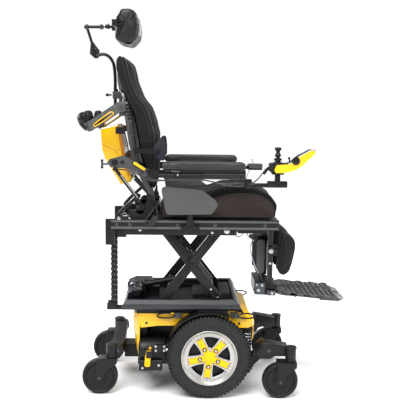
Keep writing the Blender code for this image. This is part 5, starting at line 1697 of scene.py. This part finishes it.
def make_control():
    """The joystick unit: a black core between yellow panels, with its stick, dial and clamp."""
    x, y = 0.273, -0.27
    dial_x, dial_z, grooves = 0.343, 1.017, 24
    outline = rounded([(0.26, 0.9665, 0.006), (0.256, 0.98, 0.006), (0.264, 0.999, 0.008),
                       (0.321, 1.003, 0.02), (0.354, 1.033, 0.02), (0.408, 1.0615, 0.006),
                       (0.427, 1.0525, 0.006), (0.367, 0.9945, 0.02), (0.343, 0.9785, 0.012),
                       (0.295, 0.9665, 0.004)], 5)
    panels = [prism(outline, low, high) for low, high in ((-0.306, -0.3), (-0.24, -0.2345))]
    core = rounded([(0.24, 0.968, 0.005), (0.24, 1.004, 0.004), (0.32, 1.006, 0.02),
                    (0.355, 1.036, 0.01), (0.406, 1.062, 0.006), (0.427, 1.051, 0.006),
                    (0.366, 0.996, 0.02), (0.342, 0.979, 0.01), (0.295, 0.9675, 0.0)], 4)
    piece("control_core", "joystick", [prism(core, -0.3, -0.24)], PLASTIC_BLACK, 0.001,
          ["joystick_housing"])
    piece("control_panels", "joystick", panels, YELLOW, 0.0012)
    rims = []
    top = [(0.312, 1.0045), (0.336, 1.014), (0.356, 1.0345), (0.382, 1.049), (0.408, 1.0625),
           (0.424, 1.056)]
    for edge in (-0.3045, -0.2355):
        rims.append(pipe([(a, edge, b) for a, b in top], 0.0022, 10, 5))
    piece("control_rims", "joystick", rims, RIM_SILVER, 0)
    dark = [rounded_box((0.2385, 0.256), (-0.3042, -0.2358), (0.969, 1.005), 0.006, "Y"),
            disc((x, y), 0.0265, 1.0, 1.0055, "Z", 40, 0.001),
            disc((x, y), 0.0225, 1.004, 1.008, "Z", 36, 0.001), rounded_box((0.248, 0.298),
                                                                            (-0.29, -0.25),
                                                                            (0.9585, 0.967), 0.004,
                                                                            "Y")]
    piece("control_end_box", "joystick", dark, PLASTIC_BLACK, 0.0008)
    tip = [rounded_box((0.403, 0.424), (-0.3, -0.24), (1.051, 1.0625), 0.004, "Y")]
    piece("control_tip", "joystick", tip, PLASTIC_GREY, 0.001)
    dial = [disc((dial_x, dial_z), 0.0165, -0.3105, -0.3055, steps=48, round_by=0.0015)]
    for a, b in circle(0.0158, grooves):
        dial.append(rod((dial_x + a, -0.31, dial_z + b), (dial_x + a, -0.304, dial_z + b), 0.0014, 6))
    dial.append(disc((dial_x, dial_z), 0.0075, -0.312, -0.31, steps=28, round_by=0.001))
    dial += [rod((0.322, -0.27, 1.008), (0.32, -0.27, 1.024), 0.003, 10), disc((-0.27, 1.026), 0.0048,
                                                                               0.315, 0.324, "X", 14,
                                                                               0.001)]
    piece("control_dial", "joystick", dial, SATIN_BLACK, 0.0003)
    bellows = [disc((x, y), radius, height - 0.003, height + 0.0014, "Z", 32, 0.0012) for radius,
               height in ((0.0185, 1.019), (0.0155, 1.0245))]
    piece("joystick_bellows", "joystick_boot", bellows, PLASTIC_BLACK, 0)
    knob = lathe([(0.0045, 1.017), (0.006, 1.024), (0.008, 1.03), (0.013, 1.0345), (0.0136, 1.0385),
                  (0.0098, 1.044), (0.0078, 1.05), (0.0092, 1.056), (0.014, 1.062), (0.0146, 1.067),
                  (0.012, 1.07), (0.001, 1.069)], (x, y), "Z", 32)
    piece("joystick_knob", "joystick_stick", [knob], PLASTIC_BLACK, 0, ["joystick_stick"])
    clamp = [disc((x, y), 0.0085, 0.929, 0.96, "Z", 24, 0.001),
             rod((0.233, y, 0.917), (0.312, y, 0.917), 0.0095, 20),
             *[disc((y, 0.917), 0.0135, *ends, "X", 24, 0.002)
               for ends in ((0.23, 0.24), (0.306, 0.314))], rounded_box((0.262, 0.286),
                                                                        (-0.286, -0.254),
                                                                        (0.906, 0.933), 0.004, "Y")]
    clamp += bolt((0.274, -0.286, 0.918), (0, -1, 0), 0.0045, 0.003)
    piece("control_clamp", "joystick", clamp, SATIN_BLACK, 0.0006)
    relief = [rod((0.218, -0.247, 0.956), (0.239, -0.248, 0.986), 0.0048, 14)]
    for i in range(4):
        a = Vector((0.22, -0.247, 0.959)).lerp(Vector((0.236, -0.248, 0.982)), i / 3)
        relief.append(rod(a, a + Vector((0.0018, 0, 0.0026)), 0.0058, 14))
    piece("control_strain_relief", "joystick", relief, PLASTIC_BLACK, 0)


def make_toggle_box():
    """The switch box at the front of the left armrest."""
    shapes = [rounded_box((0.198, 0.262), (0.244, 0.281), (0.945, 0.967), 0.005, "Y"),
              rounded_box((0.19, 0.264), (0.243, 0.282), (0.955, 0.963), 0.003, "Y")]
    piece("toggle_box", "armrest_left", shapes, PLASTIC_GREY, 0.001)
    stub = [rod((0.22, 0.262, 0.966), (0.216, 0.262, 0.986), 0.0028, 10), disc((0.2155, 0.262), 0.005,
                                                                               0.983, 0.988, "Z", 14,
                                                                               0.001)]
    piece("toggle_box_switch", "armrest_left", stub, STEEL, 0)


# Cables --------------------------------------------------------------------------------------

def cable(name, body, points, radius, material, replaces=(), ends=None):
    """A free cable through the points. Given ends, the cable is left fixed in place; the second body
    and bend points in ends are not used.
    """
    route = smooth_route([Vector(p) for p in points], 8)
    obj = as_object(name, [sweep(route, circle(radius, 12), (0.01, 1, 0.013))])
    obj.data.shade_smooth()
    obj.data.materials.append(material)
    if ends:
        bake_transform(obj)
    else:
        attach(obj, body)
    if replaces:
        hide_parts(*replaces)


def make_cords():
    """The cables that hang free along the armrest, from the back and on the legrest."""
    control = [(0.235, -0.247, 0.985), (0.224, -0.247, 0.976), (0.212, -0.2475, 0.96),
               (0.195, -0.249, 0.938), (0.172, -0.25, 0.92), (0.142, -0.251, 0.909),
               (0.11, -0.251, 0.905), (0.075, -0.25, 0.907), (0.04, -0.249, 0.914),
               (0.0, -0.248, 0.924), (-0.05, -0.247, 0.93), (-0.11, -0.2465, 0.93),
               (-0.17, -0.2465, 0.933), (-0.205, -0.2465, 0.944)]
    cable("control_cable", "armrest_right", control, 0.0029, CABLE_GREY, ["joystick_cable"])
    second = [(0.13, -0.27, 0.929), (0.118, -0.269, 0.924), (0.1, -0.268, 0.919),
              (0.08, -0.267, 0.9165), (0.055, -0.266, 0.917), (0.03, -0.265, 0.9195),
              (0.005, -0.264, 0.924), (-0.02, -0.263, 0.929), (-0.045, -0.262, 0.933)]
    cable("switch_cable", "armrest_right", second, 0.0024, CABLE_GREY)
    for index, drop in enumerate((0.0, 0.01)):
        y = -0.247 + 0.007 * index
        back = [(-0.392, y, 0.98 - drop), (-0.375, y, 0.979 - drop), (-0.35, y, 0.976 - drop),
                (-0.325, y, 0.968 - drop), (-0.3, y, 0.956 - drop), (-0.28, y, 0.945 - drop),
                (-0.255, y, 0.935 - drop), (-0.228, y, 0.929 - drop * 0.5),
                (-0.2, y, 0.927 - drop * 0.2), (-0.17, y, 0.928), (-0.145, y, 0.931)]
        cable(f"back_cable_{index}", "back", back, 0.0026, CABLE_GREY, ends=("armrest_right",
                                                                             (-0.3, y, 0.95),
                                                                             (-0.235, y, 0.95)))
    leg = [(0.198, -0.094, 0.654), (0.188, -0.1, 0.646), (0.1815, -0.104, 0.63), (0.181, -0.104, 0.608),
           (0.187, -0.104, 0.585), (0.194, -0.104, 0.562), (0.202, -0.104, 0.54), (0.211, -0.103, 0.52),
           (0.219, -0.101, 0.505)]
    cable("leg_cable", "legrest", leg, 0.0024, CABLE_PALE)
    holder = [rounded_box((0.176, 0.21), (-0.104, -0.07), (0.66, 0.676), 0.003),
              rounded_box((0.19, 0.208), (-0.095, -0.06), (0.54, 0.66), 0.004)]
    piece("leg_cable_holder", "legrest", holder, SATIN_BLACK, 0.0008)


# Legrest -------------------------------------------------------------------------------------

def make_legrest_details():
    """Ridges, slots, clamps and cover of the legrest tubes, and the carrier with its ankle brackets."""
    x = 0.267
    tubes, slots, bright = [], [], []
    for side in (-1, 1):
        face = span(side, 0.1275, 0.1288)
        for offset in (-0.0105, 0.0075):
            tubes.append(box((x + offset, x + offset + 0.003), face, (0.485, 0.715)))
        slots.append(rounded_box((x - 0.0035, x + 0.0045), span(side, 0.1274, 0.1282), (0.69, 0.713),
                                 0.002))
        for z, radius in ((0.67, 0.0062), (0.515, 0.005)):
            slots.append(disc((x + 0.0005, z), radius, *span(side, 0.1274, 0.1286), steps=24))
        for along, y, z, radius, height in ((0.0005, 0.1278, 0.555, 0.004, 0.002),
                                            (0.002, 0.14, 0.612, 0.0075, 0.0045),
                                            (0.0005, 0.1278, 0.723, 0.006, 0.003)):
            bright += bolt((x + along, side * y, z), (0, side, 0), radius, height)
    piece("leg_tube_ridges", "legrest", tubes, PLASTIC_GREY, 0.0003)
    piece("leg_tube_slots", "legrest", slots, SATIN_BLACK, 0)
    piece("leg_tube_bolts", "legrest", bright, STEEL, 0.0003)
    clamps = []
    for side in (-1, 1):
        clamps.append(rounded_box((0.254, 0.28), span(side, 0.128, 0.14), (0.596, 0.63), 0.004))
    piece("leg_clamps", "legrest", clamps, SATIN_BLACK, 0.0008)
    outline = rounded([(0.2085, 0.503, 0.018), (0.2085, 0.658, 0.018), (0.247, 0.658, 0.018),
                       (0.244, 0.503, 0.018)], 8)
    covers = []
    for side in (-1, 1):
        rings = []
        for y, inset in ((0.0945, 0.0), (0.099, 0.0004), (0.101, 0.002), (0.102, 0.005)):
            rings.append([(a, side * y, b) for a, b in shrunk(outline, inset)])
        covers.append(stack(rings))
        covers.append(pipe([(0.22, side * 0.1022, 0.636), (0.227, side * 0.1022, 0.642),
                            (0.234, side * 0.1022, 0.636), (0.227, side * 0.1022, 0.631)], 0.0008, 6, 4,
                           closed=True))
    piece("leg_actuator_cover", "legrest", covers, GUARD_GREY, 0.0004)
    shapes, silver = [], []
    for side in (-1, 1):
        shapes += [rounded_box((0.257, 0.296), span(side, 0.1, 0.116), (0.408, 0.43), 0.003),
                   rounded_box((0.205, 0.248), span(side, 0.1, 0.108), (0.41, 0.464), 0.005)]
        for (a, y, b), radius, height in (((0.22, 0.108, 0.43), 0.0055, 0.0035),
                                          ((0.236, 0.108, 0.452), 0.004, 0.003),
                                          ((0.212, 0.108, 0.454), 0.003, 0.0025),
                                          ((0.28, 0.116, 0.419), 0.0045, 0.003)):
            silver += bolt((a, side * y, b), (0, side, 0), radius, height)
    columns = [rounded_box((0.203, 0.234), (-0.096, 0.096), (0.408, 0.47), 0.006, "Y"),
               rounded_box((0.237, 0.26), (-0.099, 0.099), (0.407, 0.47), 0.003, "Y"),
               rounded_box((0.263, 0.2965), (-0.096, 0.096), (0.407, 0.456), 0.004, "Y"),
               box((0.23, 0.27), (-0.09, 0.09), (0.412, 0.462))]
    for side in (-1, 1):
        columns.append(box((0.2575, 0.2765), span(side, 0.0957, 0.1068), (0.46, 0.5995)))
        for along in ((0.2405, 0.243), (0.253, 0.2555)):
            columns.append(box(along, span(side, 0.0988, 0.1), (0.41, 0.468)))
    piece("carrier_columns", "leg_extension", columns, SATIN_BLACK, 0.0008, ["legrest_carrier"])
    piece("ankle_brackets", "leg_extension", shapes, DARK_STEEL, 0.0008)
    piece("ankle_bolts", "leg_extension", silver, STEEL, 0.0003)


def make_footplates():
    """Cast footplates with cross ribs, edge teeth and hinges."""
    top = [(0.0, 0.43), (0.08, 0.429), (0.26, 0.422), (0.52, 0.416), (0.76, 0.411), (0.93, 0.403),
           (1.0, 0.3955)]
    low = [(1.0, 0.394), (0.96, 0.389), (0.63, 0.393), (0.61, 0.399), (0.3, 0.407), (0.0, 0.412)]
    for side_name, side in SIDES:
        rings = []
        for y, inset in ((0.0145, 0.004), (0.016, 0.001), (0.02, 0.0), (0.06, 0.0), (0.09, 0.0),
                         (0.11, 0.0), (0.125, 0.0), (0.132, 0.0), (0.136, 0.001), (0.1378, 0.004)):
            outer = max(0.0, (y - 0.085) / 0.0528)
            start = 0.301 + 0.046 * outer ** 2
            end = 0.605 - 0.03 * outer ** 3
            ring = [(start + (end - start) * t, y, z - inset) for t, z in top]
            ring += [(start + (end - start) * t, y, z + inset * 0.5) for t, z in low]
            rings.append(ring)
        shapes = [stack(rings)]
        for i in range(10):
            x = 0.345 + 0.023 * i
            z = 0.429 - (x - 0.325) * 0.07
            shapes.append(rounded_box((x, x + 0.011), (0.026, 0.118), (z - 0.004, z + 0.0016), 0.0012))
        for i in range(4):
            x = 0.355 + 0.06 * i
            z = 0.4275 - (x - 0.325) * 0.07
            for y0, y1 in ((0.13, 0.1378), (0.0142, 0.02)):
                outline = [(x, z - 0.01), (x + 0.006, z + 0.0022), (x + 0.03, z - 0.0004),
                           (x + 0.036, z - 0.012)]
                shapes.append(prism(outline, y0, y1))
        piece(f"footplate_cast_{side_name}", f"footplate_{side_name}", on_side(shapes, side), FOOT_GREY,
              0.0006, [f"footplate_{side_name}"])
        pin = (0.309, 0.427)
        hinge = [disc(pin, 0.01, 0.016, 0.03, steps=24, round_by=0.001), disc(pin, 0.0085, 0.137,
                                                                              0.1385, steps=24,
                                                                              round_by=0.0004)]
        for x, z in ((0.38, 0.412), (0.54, 0.4)):
            hinge += bolt((x, 0.1378, z), (0, 1, 0), 0.0034, 0.0012)
        piece(f"footplate_hinge_{side_name}", f"footplate_{side_name}", on_side(hinge, side),
              DARK_STEEL, 0.0003)


# Studio --------------------------------------------------------------------------------------

CAMERA_AT = (-0.14072, -3.4958, 1.2147)
CAMERA_YAW, CAMERA_PITCH, CAMERA_ROLL = 0.0334, 0.1231, 0.01334
CAMERA_LENS_MM, CAMERA_SENSOR_MM = 67.72, 36.0
WORLD_LIGHT, WORLD_SEEN = 0.4, 1.0
FLOOR_REACH = 40.0
FLOOR_GAP = 0.0005
LIGHTS_AIM = (0, 0, 0.8)
SUN_STRENGTH = 2.9


def make_camera():
    """The photograph's viewpoint, turned by yaw, pitch and roll from a level view along +Y."""
    yaw, pitch, roll = CAMERA_YAW, CAMERA_PITCH, CAMERA_ROLL
    forward = Vector((math.sin(yaw) * math.cos(pitch), math.cos(yaw) * math.cos(pitch),
                      -math.sin(pitch)))
    level = Vector((math.cos(yaw), -math.sin(yaw), 0))
    above = level.cross(forward)
    right = math.cos(roll) * level + math.sin(roll) * above
    up = math.cos(roll) * above - math.sin(roll) * level
    camera = bpy.data.objects.new("camera", bpy.data.cameras.new("camera"))
    camera.data.lens = CAMERA_LENS_MM
    camera.data.sensor_width = CAMERA_SENSOR_MM
    rotation = Matrix((right, up, -forward)).transposed().to_4x4()
    camera.matrix_world = Matrix.Translation(CAMERA_AT) @ rotation
    bpy.context.scene.collection.objects.link(camera)
    bpy.context.scene.camera = camera


def make_light(name, at, size, power):
    light = bpy.data.lights.new(name, "AREA")
    light.shape = "RECTANGLE"
    light.size, light.size_y = size
    light.energy = power
    obj = bpy.data.objects.new(name, light)
    obj.location = at
    obj.rotation_euler = (Vector(LIGHTS_AIM) - Vector(at)).to_track_quat("-Z", "Y").to_euler()
    bpy.context.scene.collection.objects.link(obj)


def make_studio():
    """A pale floor, a white world that lights less than it shows, a broad sun and four soft lights."""
    mesh = bpy.data.meshes.new("floor")
    corners = [(x * FLOOR_REACH, y * FLOOR_REACH, 0) for x, y in ((-1, -1), (1, -1), (1, 1), (-1, 1))]
    mesh.from_pydata(corners, [], [(0, 1, 2, 3)])
    floor = bpy.data.objects.new("floor", mesh)
    floor.location.z = CAD_BOX[0].z - FLOOR_GAP
    mesh.materials.append(FLOOR)
    bpy.context.scene.collection.objects.link(floor)
    world = bpy.data.worlds.new("studio")
    bpy.context.scene.world = world
    world.use_nodes = True
    tree = world.node_tree
    background = tree.nodes["Background"]
    background.inputs["Color"].default_value = (1.0, 1.0, 1.0, 1)
    seen = tree.nodes.new("ShaderNodeLightPath").outputs["Is Camera Ray"]
    strength = spread(tree, seen, 0.0, 1.0, WORLD_LIGHT, WORLD_SEEN)
    tree.links.new(strength, background.inputs["Strength"])
    sun = bpy.data.lights.new("sun", "SUN")
    sun.energy = SUN_STRENGTH
    sun.angle = math.radians(40)
    sky = bpy.data.objects.new("sun", sun)
    sky.rotation_euler = (math.radians(28), math.radians(-12), 0)
    bpy.context.scene.collection.objects.link(sky)
    make_light("key", (-1.6, -3.2, 3.4), (2.2, 2.2), 60)
    make_light("side", (3.2, -2.4, 1.8), (1.2, 2.4), 75)
    make_light("rim", (-2.6, 2.6, 2.6), (1.6, 1.6), 90)
    make_light("far", (2.4, 3.0, 2.2), (1.6, 1.6), 60)
    bpy.context.scene.view_settings.view_transform = "Standard"


carry_over_nodes()
for side_name, side in SIDES:
    make_drive_tyre(side_name, side)
    make_drive_rim(side_name, side)
    make_caster("front", side_name)
    make_caster("rear", side_name)
    make_freewheel_knob(side_name, side)
    make_motor_details(side_name, side)
make_caster_arms()
make_springs()
make_shroud()
make_lift_cover()
make_tie_downs()
make_lift_motor()
make_scissor_details()
make_chains()
make_rails()
make_belt()
make_hip_guards()
make_back_shell()
make_back_cover()
make_canes()
make_back_brackets()
make_recline_struts()
make_rear_frame()
make_cords()
make_push_handle_details()
make_armrest_details()
make_control()
make_toggle_box()
make_legrest_details()
make_footplates()
make_seat_cushion()
make_back_cushion()
make_headrest()
make_calf_pads()
for side_name, side in SIDES:
    make_lateral(side_name, side)
    make_armrest_pad(side_name, side)
make_camera()
make_studio()
